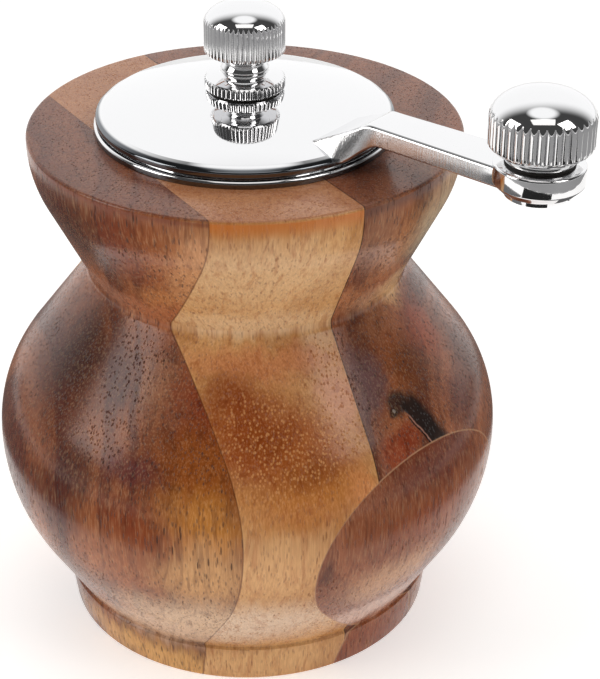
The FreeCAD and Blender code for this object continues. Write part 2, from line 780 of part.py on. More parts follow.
def make_crank_lid():
    """The domed lid, its hub and the crank arm, cast in one piece."""
    shell = turned_part("lid_shell", [
        (0.0, lid_hub_bottom),
        (lid_hub_radius, lid_hub_bottom),
        (lid_hub_radius, rim + d.lid_seat_height - d.lid_wall, d.lid_wall - d.lid_dome_arc),
        (lid_radius - d.lid_wall, rim + d.lid_rim_bottom),
        (lid_radius, rim + d.lid_rim_bottom),
        (lid_radius, rim + d.lid_rim_top),
        (lid_edge_radius, rim + d.lid_edge_height, d.lid_dome_arc),
        (d.lid_seat_radius, rim + d.lid_seat_height),
        (0.0, rim + d.lid_seat_height),
    ], is_node=False)
    square_bore(shell, "lid_square", lid_hub_bottom, rim + d.lid_seat_height - lid_hub_bottom)
    arm_bottom = rim + d.arm_top - d.arm_thickness
    side_view = [
        (arm_root_at, rim + d.lid_edge_height),
        (lid_radius - d.lid_wall / 2, rim + d.lid_rim_bottom + d.slip_gap),
        (lid_radius + d.lid_wall / 3, rim + d.lid_rim_bottom + d.lid_wall / 3),
        (arm_bend_at + d.lid_wall, arm_bottom),
        (d.crank_throw, arm_bottom),
        (d.crank_throw, rim + d.arm_top),
        (arm_bend_at, rim + d.arm_top),
    ]
    width = d.arm_root_half_width * 2
    side = extruded_outline("arm_side_view", "XZ_Plane", side_view, -width / 2, width)
    plan_view = [
        (arm_root_at - d.lid_wall, -d.arm_root_half_width),
        (lid_edge_radius, -d.arm_root_half_width * ARM_ROOT_TAPER),
        (arm_bend_at, -d.arm_bend_half_width),
        (d.crank_throw, -d.arm_eye_half_width),
        (d.crank_throw, d.arm_eye_half_width),
        (arm_bend_at, d.arm_bend_half_width),
        (lid_edge_radius, d.arm_root_half_width * ARM_ROOT_TAPER),
        (arm_root_at - d.lid_wall, d.arm_root_half_width),
    ]
    plan = extruded_outline("arm_plan_view", "XY_Plane", plan_view, rim, d.arm_top + OVERRUN)
    arm = boolean("Common", "crank_arm", side, plan)
    eye_cone = doc.addObject("Part::Cone", "eye_bottom")
    bind(eye_cone, "Radius1", d.eye_radius - d.eye_bottom_chamfer)
    bind(eye_cone, "Radius2", d.eye_radius)
    bind(eye_cone, "Height", d.eye_bottom_chamfer)
    bind(eye_cone, "Placement.Base.x", d.crank_throw)
    bind(eye_cone, "Placement.Base.z", arm_bottom)
    eye_low = arm_bottom + d.eye_bottom_chamfer
    eye = cylinder("eye_boss", d.eye_radius, eye_low, rim + d.eye_top - eye_low, d.crank_throw)
    cast = doc.addObject("Part::MultiFuse", "lid_casting")
    cast.Shapes = [shell, arm, eye_cone, eye]
    bore = cylinder("eye_bore", d.knob_screw_radius + d.fit_gap, arm_bottom - OVERRUN,
                    d.eye_top - d.arm_top + d.arm_thickness + OVERRUN * 2, d.crank_throw)
    keep(boolean("Cut", "crank_lid", cast, bore), "crank_lid")


def make_ribs(body, name, radius, count, low, high):
    """Shallow round flutes that leave knurled ribs round a knob, between two heights."""
    sketch = new_sketch(body, name + "_flute_outline", "XY_Plane", low)
    draw_circle(sketch, d.flute_radius, radius + d.flute_radius - d.rib_depth)
    flute = extrude(body, sketch, name + "_flute", high - low, cut=True, turned=True)
    around(body, flute, name + "_flutes", count)


def make_crank_knob():
    """The turned and knurled knob that spins on the end of the crank arm."""
    bore = d.knob_screw_thread_radius + d.fit_gap
    side = rim + d.knob_skirt_bottom
    dome_rise = d.knob_top - d.knob_rib_top
    body = turned_part("crank_knob", [
        (bore, knob_bottom),
        (d.knob_neck_radius, knob_bottom),
        (d.knob_neck_radius - d.slip_gap, side - d.rib_depth),
        (d.knob_radius - d.rib_depth * 2, side),
        (d.knob_radius, rim + d.knob_rib_bottom),
        (d.knob_radius, rim + d.knob_rib_top, dome_arc(d.knob_radius, dome_rise)),
        (0.0, rim + d.knob_top),
        (0.0, knob_bottom + d.knob_screw_depth + d.slip_gap),
        (bore, knob_bottom + d.knob_screw_depth + d.slip_gap),
    ])
    ribs_low = rim + d.knob_rib_bottom
    ribs_high = rim + d.knob_rib_top + d.rib_depth * 2
    make_ribs(body, "crank_knob", d.knob_radius, d.knob_rib_count, ribs_low, ribs_high)


def dome_arc(radius, rise):
    """The arc radius of a shallow dome from its rim radius and its rise."""
    return (radius * radius + rise * rise) / (rise * 2)


def make_knob_screw():
    """The shouldered screw that holds the crank knob on the eye and turns with it."""
    head_top = eye_bottom - d.face_gap
    body = turned_part("knob_screw", [
        (0.0, head_top - d.knob_screw_head_height),
        (d.knob_screw_head_radius, head_top - d.knob_screw_head_height),
        (d.knob_screw_head_radius, head_top),
        (d.knob_screw_radius, head_top),
        (d.knob_screw_radius, knob_bottom),
        (d.knob_screw_thread_radius, knob_bottom),
        (d.knob_screw_thread_radius, knob_bottom + d.knob_screw_depth),
        (0.0, knob_bottom + d.knob_screw_depth),
    ])
    slot = new_sketch(body, "knob_screw_slot_outline", "XY_Plane",
                      head_top - d.knob_screw_head_height)
    reach = d.knob_screw_head_radius + OVERRUN
    draw_rectangle(slot, -reach, -d.screw_slot_width, reach, d.screw_slot_width)
    extrude(body, slot, "knob_screw_slot", d.screw_slot_depth, cut=True, turned=True)


def move_to_eye(body):
    """Carry a piece that was drawn about the axis out to the end of the crank arm."""
    bind(body, "Placement.Base.x", d.crank_throw)


def make_adjuster_knob():
    """The turned knob on the shaft's thread: knurled flange, barrel neck and knurled head."""
    bore = d.shaft_thread_radius + d.fit_gap
    neck = d.adjuster_neck_radius
    bead = rim + d.adjuster_bead_at
    body = turned_part("adjuster_knob", [
        (bore, adjuster_bottom),
        (d.adjuster_radius - d.rib_depth, adjuster_bottom),
        (d.adjuster_radius, adjuster_bottom + d.rib_depth),
        (d.adjuster_radius, rim + d.adjuster_flange_top - d.rib_depth),
        (d.adjuster_radius - d.rib_depth, rim + d.adjuster_flange_top),
        (neck + d.neck_flare, rim + d.adjuster_flange_top),
        (neck, rim + d.adjuster_neck_bottom),
        (neck, rim + d.adjuster_neck_top),
        (neck - d.rib_depth, bead - d.rib_depth),
        (neck, bead),
        (neck - d.rib_depth, bead + d.rib_depth),
        (neck + d.neck_flare, rim + d.adjuster_skirt_bottom - d.rib_depth),
        (d.adjuster_radius - d.rib_depth, rim + d.adjuster_skirt_bottom),
        (d.adjuster_radius, rim + d.adjuster_skirt_bottom + d.rib_depth),
        (d.adjuster_radius, rim + d.adjuster_rib_top,
         dome_arc(d.adjuster_radius, d.adjuster_top - d.adjuster_rib_top)),
        (0.0, rim + d.adjuster_top),
        (0.0, rim + d.adjuster_bore_top),
        (bore, rim + d.adjuster_bore_top),
    ])
    bands = (("adjuster_flange", adjuster_bottom, rim + d.adjuster_flange_top),
             ("adjuster_head", rim + d.adjuster_skirt_bottom,
              rim + d.adjuster_rib_top + d.rib_depth * 2))
    for name, low, high in bands:
        make_ribs(body, name, d.adjuster_radius, d.adjuster_rib_count, low, high)


# ---------------------------------------------------------------- shaft, spring and clips

def make_drive_shaft():
    """The square shaft, turned down to a thread at each end and to a journal at the foot."""
    square_top = rim + d.shaft_square_above_rim
    body = new_body("drive_shaft")
    square = new_sketch(body, "shaft_square_outline", "XY_Plane", nut_top)
    half = d.shaft_flat / 2
    draw_rectangle(square, -half, -half, half, half)
    extrude(body, square, "shaft_square", square_top - nut_top)
    stubs = (
        ("shaft_top_thread", d.shaft_thread_radius, square_top,
         d.shaft_thread_above_rim - d.shaft_square_above_rim, False),
        ("shaft_foot_thread", d.shaft_thread_radius, nut_top, nut_top - thread_end, True),
        ("shaft_journal", d.journal_radius, thread_end, thread_end - journal_end, True),
    )
    for name, radius, level, length, downward in stubs:
        sketch = new_sketch(body, name + "_outline", "XY_Plane", level)
        draw_circle(sketch, radius)
        extrude(body, sketch, name, length, turned=downward)
    for name, low in (("spring_clip_groove", upper_clip_top - d.clip_plate - d.face_gap),
                      ("burr_clip_groove", cone_top)):
        sketch = new_sketch(body, name + "_outline")
        draw_rectangle(sketch, clip_groove_radius, low, d.shaft_flat,
                       low + d.clip_plate + d.face_gap)
        revolve(body, sketch, name, cut=True)
    keep(body, "drive_shaft")


def make_clips():
    """The two open clips snapped into the shaft: one under the spring, one over the cone burr."""
    clips = []
    for i, low in enumerate((upper_clip_top - d.clip_plate, cone_top + d.face_gap / 2), start=1):
        ring = ring_part(f"clip_ring_{i}", clip_groove_radius + d.fit_gap, clip_radius,
                         low, low + d.clip_plate, is_node=False)
        mouth = box(f"clip_mouth_{i}", clip_radius * 2, d.clip_mouth, d.clip_plate * 2)
        bind(mouth, "Placement.Base.y", -d.clip_mouth / 2)
        bind(mouth, "Placement.Base.z", low - d.clip_plate / 2)
        clips.append(boolean("Cut", f"clip_{i}", ring, mouth))
    group("shaft_clips", clips)


def make_spring():
    """The coil spring that presses the shaft down, so that the knob stays tight on the lid."""
    wire = d.spring_wire_radius
    path = doc.addObject("Part::Helix", "spring_path")
    bind(path, "Pitch", (d.spring_height - wire * 2) / d.spring_turns)
    bind(path, "Height", d.spring_height - wire * 2)
    bind(path, "Radius", spring_coil_radius)
    bind(path, "Placement.Base.z", spring_bottom + wire)
    section = doc.addObject("Part::Circle", "spring_wire")
    bind(section, "Radius", wire)
    section.Placement.Rotation = FreeCAD.Rotation(FreeCAD.Vector(1, 0, 0), 90)
    bind(section, "Placement.Base.x", spring_coil_radius)
    bind(section, "Placement.Base.z", spring_bottom + wire)
    coil = doc.addObject("Part::Sweep", "spring")
    coil.Sections = [section]
    coil.Spine = (path, [])
    coil.Solid = True
    coil.Frenet = True
    keep(coil, "spring")


# ---------------------------------------------------------------- burrs and their housing

def make_burr_carrier():
    """The flanged sleeve in the wood that holds the ring burr from above."""
    sleeve = d.burr_bore_radius - d.fit_gap
    pocket = sleeve - d.carrier_wall
    flange = burr_ledge_radius - d.slip_gap
    body = turned_part("burr_carrier", [
        (pocket, lower_bridge_top),
        (flange, lower_bridge_top),
        (flange, d.burr_ledge_height),
        (sleeve, d.burr_ledge_height),
        (sleeve, carrier_top),
        (ring_mouth_radius, carrier_top),
        (ring_mouth_radius, carrier_top - d.carrier_lip),
        (pocket, carrier_top - d.carrier_lip),
    ])
    sketch = new_sketch(body, "carrier_screw_place", "XY_Plane", lower_bridge_top)
    draw_circle(sketch, d.wood_screw_radius + d.slip_gap,
                *circle_place(burr_screw_circle, SCREW_TURN))
    hole = extrude(body, sketch, "carrier_screw_hole", d.carrier_plate, cut=True, turned=True)
    around(body, hole, "carrier_screw_holes", SCREW_COUNT)


def burr_teeth(name, radius, height, depth, lean, count):
    """Straight slots laid round a cone's face, each leaning from the cone's own slope."""
    slope = math.degrees(math.atan(SIZES["burr_slope"]))
    reach = d.cone_height
    slots = []
    for i in range(count):
        slot = box(f"{name}_{i + 1}", depth * 2, d.burr_tooth_width, reach)
        start = FreeCAD.Vector(-plain(depth), -plain(d.burr_tooth_width) / 2, 0)
        along = FreeCAD.Rotation(FreeCAD.Vector(0, 1, 0), -slope)
        along = along * FreeCAD.Rotation(FreeCAD.Vector(1, 0, 0), lean)
        turn = FreeCAD.Rotation(FreeCAD.Vector(0, 0, 1), 360.0 * i / count)
        foot = FreeCAD.Vector(plain(radius), 0, plain(height))
        slot.Placement = FreeCAD.Placement(turn.multVec(foot + along.multVec(start)), turn * along)
        slots.append(slot)
    whole = doc.addObject("Part::MultiFuse", name)
    whole.Shapes = slots
    return whole


def make_ring_burr():
    """The fixed steel ring: a wide mouth, a narrow throat and a toothed cone below it."""
    skirt_top = cone_foot + d.cone_skirt_height
    throat = skirt_top + (ring_skirt_radius - ring_throat_radius) / d.burr_slope
    blank = turned_part("ring_burr_blank", [
        (ring_skirt_radius, lower_bridge_top),
        (ring_burr_radius, lower_bridge_top),
        (ring_burr_radius, carrier_top - d.carrier_lip - d.face_gap),
        (ring_mouth_radius, carrier_top - d.carrier_lip - d.face_gap),
        (ring_throat_radius, throat),
        (ring_skirt_radius, skirt_top),
    ], is_node=False)
    teeth = burr_teeth("ring_teeth", ring_skirt_radius, skirt_top - OVERRUN, d.burr_tooth_depth,
                       -SIZES["burr_tooth_lean"], RING_TOOTH_COUNT)
    keep(boolean("Cut", "ring_burr", blank, teeth), "ring_burr")


def make_cone_burr():
    """The steel cone that turns with the shaft, hollowed below for its nut."""
    skirt_top = cone_foot + d.cone_skirt_height
    shoulder = skirt_top + (cone_foot_radius - cone_top_radius) / d.burr_slope
    blank = turned_part("cone_burr_blank", [
        (0.0, nut_top),
        (nut_corner + d.slip_gap * 2, nut_top),
        (nut_corner + d.slip_gap * 2, cone_foot),
        (cone_foot_radius, cone_foot),
        (cone_foot_radius, skirt_top),
        (cone_top_radius, shoulder),
        (cone_top_radius, cone_top),
        (0.0, cone_top),
    ], is_node=False)
    square_bore(blank, "cone_burr_square", nut_top, cone_top - nut_top)
    teeth = burr_teeth("cone_teeth", cone_foot_radius, skirt_top, d.burr_tooth_depth,
                       SIZES["burr_tooth_lean"], CONE_TOOTH_COUNT)
    keep(boolean("Cut", "cone_burr", blank, teeth), "cone_burr")


def make_burr_nut():
    """The hexagon nut that carries the cone burr on the shaft's lower thread."""
    body = new_body("burr_nut")
    sketch = new_sketch(body, "burr_nut_outline", "XY_Plane", nut_bottom)
    draw_outline(sketch, [circle_place(nut_corner, 60.0 * i) for i in range(6)])
    extrude(body, sketch, "burr_nut_blank", d.burr_nut_height)
    bore = new_sketch(body, "burr_nut_bore_outline", "XY_Plane", nut_bottom)
    draw_circle(bore, d.shaft_thread_radius + d.fit_gap)
    extrude(body, bore, "burr_nut_bore", d.burr_nut_height, cut=True, turned=True)
    keep(body, "burr_nut")


# ---------------------------------------------------------------- assembly

make_boards(make_turned_blank())
make_bezel_ring()
make_spoked_plate("top_bridge", d.bridge_seat_radius - d.fit_gap, d.hopper_radius, bridge_seat,
                  d.bridge_plate, bridge_hub_radius, bridge_seat, d.bridge_hub_height,
                  d.bridge_arm_width, bush_radius + d.fit_gap, bridge_screw_circle)
make_screws("bridge_screws", bridge_screw_circle, bridge_top, upward=False)
ring_part("thrust_washer", bush_radius + d.slip_gap, bush_flange_radius, hub_top,
          washer_top - d.face_gap)
make_drive_bush()
make_crank_lid()
make_crank_knob()
make_knob_screw()
ring_part("knob_washer", d.knob_screw_radius + d.slip_gap, d.knob_neck_radius - d.slip_gap,
          knob_bottom - d.face_gap - d.knob_washer_plate, knob_bottom - d.face_gap)
for piece in nodes[-3:]:
    move_to_eye(piece)
make_adjuster_knob()
ring_part("friction_washer", d.shaft_thread_radius + d.slip_gap, d.friction_washer_radius,
          adjuster_bottom - d.friction_washer_plate, adjuster_bottom)
make_drive_shaft()
ring_part("spring_top_washer", shaft_corner + d.slip_gap, washer_radius, spring_top,
          spring_top + d.washer_plate)
ring_part("spring_bottom_washer", shaft_corner + d.slip_gap, washer_radius, upper_clip_top,
          spring_bottom)
make_spring()
make_clips()
make_burr_carrier()
make_ring_burr()
make_cone_burr()
make_burr_nut()
make_spoked_plate("lower_bridge", burr_ledge_radius - d.slip_gap, lower_bridge_opening,
                  lower_bridge_bottom, d.lower_bridge_plate, d.lower_hub_radius, lower_hub_bottom,
                  d.lower_hub_height, d.lower_arm_width, d.lower_bush_radius + d.fit_gap,
                  burr_screw_circle)
turned_part("lower_bush", [
    (d.journal_radius + d.fit_gap, lower_hub_bottom),
    (d.lower_bush_radius, lower_hub_bottom),
    (d.lower_bush_radius, lower_bridge_top),
    (d.lower_bush_flange_radius, lower_bridge_top),
    (d.lower_bush_flange_radius, lower_bridge_top + d.lower_bush_flange_plate),
    (d.journal_radius + d.fit_gap, lower_bridge_top + d.lower_bush_flange_plate),
])
make_screws("burr_screws", burr_screw_circle, lower_bridge_bottom, upward=True)

# ---------------------------------------------------------------- checks and files

doc.recompute()
for item in doc.Objects:
    if "Invalid" in item.State or "Error" in item.State:
        raise RuntimeError(f"{item.Name} failed: {item.State}")
for item in nodes:
    if item.Shape.isNull() or not item.Shape.isValid() or item.Shape.Volume <= 0:
        raise RuntimeError(f"{item.Label} has no sound shape")

os.makedirs("parts", exist_ok=True)
for item in nodes:
    item.Shape.exportStep(f"parts/{item.Label}.step")
    size = item.Shape.BoundBox
    print(f"{item.Label:22s} solids {len(item.Shape.Solids)}  volume {item.Shape.Volume:10.1f} mm3"
          f"  x {size.XMin:7.2f} {size.XMax:7.2f}  y {size.YMin:7.2f} {size.YMax:7.2f}"
          f"  z {size.ZMin:7.2f} {size.ZMax:7.2f}")
print(len(nodes), "nodes")
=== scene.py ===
# %% [markdown]
# A table crank mill, turned from four glued boards of an oily tropical hardwood and fitted with
# bright chromed metal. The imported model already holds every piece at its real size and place.
# This file gives each piece the surface that a hand and an eye would expect.
# Lengths are written in millimetres and turned to metres where a mesh is made.

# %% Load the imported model
import math

import bmesh
import bpy
from mathutils import Matrix, Vector


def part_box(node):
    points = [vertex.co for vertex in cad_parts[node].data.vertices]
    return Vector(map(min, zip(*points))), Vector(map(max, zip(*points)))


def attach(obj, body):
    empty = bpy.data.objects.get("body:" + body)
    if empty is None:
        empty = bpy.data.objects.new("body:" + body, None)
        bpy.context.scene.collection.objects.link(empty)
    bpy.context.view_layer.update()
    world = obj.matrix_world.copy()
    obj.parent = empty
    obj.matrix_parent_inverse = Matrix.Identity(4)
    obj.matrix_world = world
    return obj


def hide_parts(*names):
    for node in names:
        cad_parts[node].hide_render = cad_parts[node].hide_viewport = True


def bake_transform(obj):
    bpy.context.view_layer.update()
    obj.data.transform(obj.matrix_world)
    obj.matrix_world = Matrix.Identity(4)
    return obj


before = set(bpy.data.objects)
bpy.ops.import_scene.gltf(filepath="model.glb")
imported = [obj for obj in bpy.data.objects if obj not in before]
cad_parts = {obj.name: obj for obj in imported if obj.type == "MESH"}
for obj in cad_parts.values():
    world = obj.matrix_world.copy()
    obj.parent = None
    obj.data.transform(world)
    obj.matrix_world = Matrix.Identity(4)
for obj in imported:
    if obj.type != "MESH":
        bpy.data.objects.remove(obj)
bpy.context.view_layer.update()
MM = 0.001

# %% [markdown]
# A few small helpers carry every finish below. Colours are given as sRGB hex values, and
# Blender wants linear light, so one function turns them. Another adds a shader node together
# with its settings and its links, so that a material reads as a short list.

# %% Colour and node helpers


def linear(hex_value):
    """An sRGB hex colour as linear red, green, blue and alpha."""
    parts = [int(hex_value[i:i + 2], 16) / 255 for i in (1, 3, 5)]
    return [p / 12.92 if p <= 0.04045 else ((p + 0.055) / 1.055) ** 2.4 for p in parts] + [1.0]


def add(tree, kind, settings=None, out=0, **inputs):
    """Add a shader node: set its properties, link or fill its inputs, and return one output.

    An input is given by its name, or by its number after an underscore.
    """
    node = tree.nodes.new("ShaderNode" + kind)
    for name, value in (settings or {}).items():
        setattr(node, name, value)
    for name, value in inputs.items():
        socket = node.inputs[int(name[1:]) if name[1:].isdigit() else name.replace("_", " ")]
        if isinstance(value, bpy.types.NodeSocket):
            tree.links.new(value, socket)
        else:
            socket.default_value = value
    return node.outputs[out] if node.outputs else node


# settings that many nodes share: laying a colour over another, a soft step, and arithmetic
LAY = {"data_type": "RGBA", "clamp_factor": True}
SOFT_STEP = {"interpolation_type": "SMOOTHSTEP"}
TIMES, TIMES_PLUS, PLUS, MINUS, OVER, LENGTH, DOT, UNSIGNED = (
    {"operation": word} for word in ("MULTIPLY", "MULTIPLY_ADD", "ADD", "SUBTRACT", "DIVIDE",
                                     "LENGTH", "DOT_PRODUCT", "ABSOLUTE"))


def finish(name, **surface):
    """A new material with one Principled surface, its constant values set on its own sockets."""
    material = bpy.data.materials.new(name)
    material.use_nodes = True
    tree = material.node_tree
    tree.nodes.clear()
    surface_out = add(tree, "BsdfPrincipled", **surface)
    add(tree, "OutputMaterial", Surface=surface_out)
    return material, tree, surface_out.node


def dress(tree, shader, **results):
    """Link finished outputs, such as a colour or a bump, to the surface's named inputs."""
    for name, value in results.items():
        tree.links.new(value, shader.inputs[name.replace("_", " ")])


def millimetres(tree):
    """Where a point of the piece is, in millimetres in the mill's own frame."""
    place = add(tree, "TexCoord", out="Object")
    return add(tree, "VectorMath", {"operation": "SCALE"}, _0=place, Scale=1 / MM)


print("helpers ready")

# %% [markdown]
# The body is turned on a lathe, so its outside is one outline spun about the axis: a foot, a
# straight flank that runs into two arcs, a waist, and a collar that flares to the rim. The arcs
# are joined by tangent lines, as a turner's template would be, so no kink shows in the sheen.

# %% The turned outline


def tangent_angle(centre, radius, point):
    """The angle at which a circle meets the outer tangent from a point."""
    run, rise = point[0] - centre[0], point[1] - centre[1]
    spread = math.acos(radius / math.hypot(run, rise))
    return math.atan2(rise, run) + (spread if rise < 0 else -spread)


def arc_points(centre, radius, start, end, count):
    """Evenly spaced points of an arc, both ends included."""
    angles = [start + (end - start) * i / (count - 1) for i in range(count)]
    return [(centre[0] + radius * math.cos(a), centre[1] + radius * math.sin(a)) for a in angles]


def rounded(corners, steps=6):
    """An outline whose (radius, height, rounding) corners are turned into short arcs."""
    points = []
    for i, (x, y, size) in enumerate(corners):
        before, after = Vector(corners[i - 1][:2]), Vector(corners[(i + 1) % len(corners)][:2])
        here = Vector((x, y))
        if size <= 0:
            points.append((x, y))
            continue
        back, on = (before - here).normalized(), (after - here).normalized()
        half = back.angle(on) / 2
        room = min((before - here).length, (after - here).length) * 0.49
        reach = min(size / math.tan(half), room)
        radius = reach * math.tan(half)
        centre = here + (back + on).normalized() * (radius / math.sin(half))
        first, last = here + back * reach - centre, here + on * reach - centre
        turn = first.angle_signed(last) * -1
        for k in range(steps + 1):
            a = turn * k / steps
            points.append((centre.x + first.x * math.cos(a) - first.y * math.sin(a),
                           centre.y + first.x * math.sin(a) + first.y * math.cos(a)))
    return points


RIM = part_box("middle_board")[1].z / MM
WAIST = (28.8, 71.0)
ROOT = (35.3, 7.9)
WIDEST, WIDEST_LEVEL, RIM_RADIUS = 47.15, 37.7, 39.0
BELLY_ARC, SHOULDER_ARC, COLLAR_ARC = 35.9, 26.5, 21.25
BELLY = ((WIDEST - BELLY_ARC, WIDEST_LEVEL), BELLY_ARC)
SHOULDER = ((WIDEST - SHOULDER_ARC, WIDEST_LEVEL), SHOULDER_ARC)
COLLAR = ((RIM_RADIUS - COLLAR_ARC, RIM - 1.2), COLLAR_ARC)
belly_start = tangent_angle(*BELLY, ROOT)
shoulder_end = tangent_angle(*SHOULDER, WAIST)
collar_start = tangent_angle(*COLLAR, WAIST)


def straight(start, end, count):
    """Points between two ends, the ends left out."""
    return [(start[0] + (end[0] - start[0]) * i / (count + 1),
             start[1] + (end[1] - start[1]) * i / (count + 1)) for i in range(1, count + 1)]


def turned_outline():
    """The outside of the body from the foot's bottom edge to the rim's inner edge."""
    belly = arc_points(*BELLY, belly_start, 0.0, 48)
    shoulder = arc_points(*SHOULDER, 0.0, shoulder_end, 36)[1:]
    collar = arc_points(*COLLAR, collar_start, 0.0, 30)
    waist = rounded([(*shoulder[-1], 0), (*WAIST, 2.4), (*collar[0], 0)], 8)[1:-1]
    foot = rounded([(30.0, 0.0, 0), (34.7, 0.0, 0.5), (35.7, 7.4, 0.35), (35.25, 7.95, 0.25),
                    (*belly[0], 0)], 4)[1:-1]
    edge = rounded([(*collar[-1], 0), (RIM_RADIUS, RIM, 1.15), (27.0, RIM, 0)], 8)[1:-1]
    return (foot + straight(foot[-1], belly[0], 8) + belly + shoulder
            + straight(shoulder[-1], waist[0], 3) + waist + straight(waist[-1], collar[0], 4)
            + collar + edge)


outside = turned_outline()
print("outline points:", len(outside), "widest radius:", round(max(p[0] for p in outside), 2))

# %% [markdown]
# Anything turned can be made by spinning an outline. One function does it for the whole mill.
# An outline that touches the axis closes in a point there, and one that goes round a bore closes
# on itself. A `shape` function may bend the radius with the angle, which gives knurling and
# square holes without any cutting afterwards.

# %% Spin an outline into a mesh


def spun(outline, turns, shape=None, centre=(0.0, 0.0)):
    """Vertices in millimetres and faces of an outline of (radius, height) spun about a centre."""
    points, rings, faces = [], [], []
    for j, (radius, height) in enumerate(outline):
        if radius == 0:
            rings.append([len(points)] * turns)
            points.append((centre[0], centre[1], height))
            continue
        rings.append(list(range(len(points), len(points) + turns)))
        for i in range(turns):
            angle = 2 * math.pi * i / turns
            r = shape(j, radius, height, angle) if shape else radius
            points.append((centre[0] + r * math.cos(angle), centre[1] + r * math.sin(angle),
                           height))
    pairs = list(zip(rings, rings[1:]))
    if outline[0][0] and outline[-1][0]:
        pairs.append((rings[-1], rings[0]))
    for low, high in pairs:
        for i in range(turns):
            k = (i + 1) % turns
            corners = []
            for index in (low[i], low[k], high[k], high[i]):
                if index not in corners:
                    corners.append(index)
            if len(corners) > 2:
                faces.append(corners)
    return points, faces


def joined(*parts):
    """Several (vertices, faces) as one."""
    points, faces = [], []
    for more_points, more_faces in parts:
        shift = len(points)
        points += more_points
        faces += [[index + shift for index in face] for face in more_faces]
    return points, faces


def piece(name, part, material, body, node, crease=32):
    """A finished piece: its mesh, smooth but for creases, on its body, in place of a CAD node."""
    mesh = bpy.data.meshes.new(name)
    mesh.from_pydata([[c * MM for c in p] for p in part[0]], [], part[1])
    bm = bmesh.new()
    bm.from_mesh(mesh)
    bmesh.ops.recalc_face_normals(bm, faces=bm.faces)
    bm.to_mesh(mesh)
    bm.free()
    return placed(name, mesh, material, body, node, crease)


def placed(name, mesh, material, body, node, crease):
    """Show a mesh as a piece, riding on a body if one is given."""
    mesh.materials.append(material)
    mesh.shade_smooth()
    mesh.set_sharp_from_angle(angle=math.radians(crease))
    thing = bpy.data.objects.new(name, mesh)
    bpy.context.scene.collection.objects.link(thing)
    if body:
        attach(thing, body)
    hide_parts(node)
    return thing


print("spinning ready")

# %% [markdown]
# The wood is acacia, sold in glued-up blocks. It is a strong, oily hardwood whose heartwood runs
# from honey to purple-brown in one board. Its grain stands upright here, so its long vessels show
# as dark dashes on the steep flanks and as dots wherever the turning cuts across them. It was
# sanded, oiled and buffed to a satin, which keeps a soft broad reflection and lets pores catch
# dark. One function grows all of it in three dimensions, so every face cuts the same timber.
# It needs a few tools first: a way to point at a place on the flank, noise drawn out along the
# grain, and masks for a blurred patch, for cut vessels and for a band.

# %% Places and masks in the timber


def flank(azimuth, height):
    """The point of the turned outside at an azimuth in degrees and a height."""
    below = max((p for p in outside if p[1] <= height), key=lambda p: p[1])
    above = min((p for p in outside if p[1] >= height), key=lambda p: p[1])
    span = above[1] - below[1]
    share = (height - below[1]) / span if span else 0.0
    radius = below[0] + (above[0] - below[0]) * share
    turn = math.radians(azimuth)
    return Vector((radius * math.cos(turn), radius * math.sin(turn), height))


def soft_patch(tree, place, centre, size, share, firm):
    """A mask that is `share` in the `firm` part of an egg of timber and falls to 0 at its edge."""
    offset = add(tree, "VectorMath", MINUS, _0=place, _1=centre)
    scaled = add(tree, "VectorMath", OVER, _0=offset, _1=size)
    reach = add(tree, "VectorMath", LENGTH, "Value", _0=scaled)
    return add(tree, "MapRange", SOFT_STEP, Value=reach, From_Min=1.0, From_Max=firm, To_Max=share)


def stretched_noise(tree, place, across, along, detail=2.0, offset=(0, 0, 0), out="Fac"):
    """Noise drawn out along the grain, its features so many millimetres across and along."""
    shifted = add(tree, "VectorMath", PLUS, _0=place, _1=offset)
    scaled = add(tree, "VectorMath", OVER, _0=shifted, _1=(across, across, along))
    return add(tree, "TexNoise", None, out, Vector=scaled, Scale=1.0, Detail=detail,
               Roughness=0.55)


def wandering(tree, place, across, along, reach, offset=(0, 0, 0)):
    """The same place, pushed up to half of `reach` millimetres either way by a stretched noise."""
    push = stretched_noise(tree, place, across, along, 2.0, offset, "Color")
    start = add(tree, "VectorMath", MINUS, _0=place, _1=(reach / 2, reach / 2, reach / 2))
    return add(tree, "VectorMath", TIMES_PLUS, _0=push, _1=(reach, reach, reach), _2=start)


def vessels(tree, place, spacing, length, width, share, offset):
    """Cut vessels: dashes along the grain and dots across it, `share` inside and 0 outside.

    Each fades out `width` millimetres from its middle.
    """
    shifted = add(tree, "VectorMath", PLUS, _0=place, _1=offset)
    scaled = add(tree, "VectorMath", OVER, _0=shifted, _1=(spacing, spacing, length))
    reach = add(tree, "TexVoronoi", Vector=scaled, Scale=1.0)
    edge = width / spacing
    return add(tree, "MapRange", SOFT_STEP, Value=reach,
               From_Min=edge, From_Max=edge * 0.5, To_Max=share)


def between(tree, value, low, high, low_blur=0.1, high_blur=0.1):
    """A mask that is 1 while a value lies between two others and fades within each one's blur."""
    rise = add(tree, "MapRange", SOFT_STEP, Value=value,
               From_Min=low - low_blur, From_Max=low + low_blur)
    fall = add(tree, "MapRange", SOFT_STEP, Value=value,
               From_Min=high + high_blur, From_Max=high - high_blur)
    return add(tree, "Math", TIMES, _0=rise, _1=fall)


print("the belly at 0 degrees:", [round(v, 1) for v in flank(0, WIDEST_LEVEL)])

# %% [markdown]
# A few marks lie over the figure of the board. Where bark was grown over it left a black pocket,
# with a hairline crack along it and a torn pale edge. Where boards meet there is a line of glue.
# Vessels cut open by the tool fill with dark oil, and they crowd together in places.

# %% Bark, glue and vessels


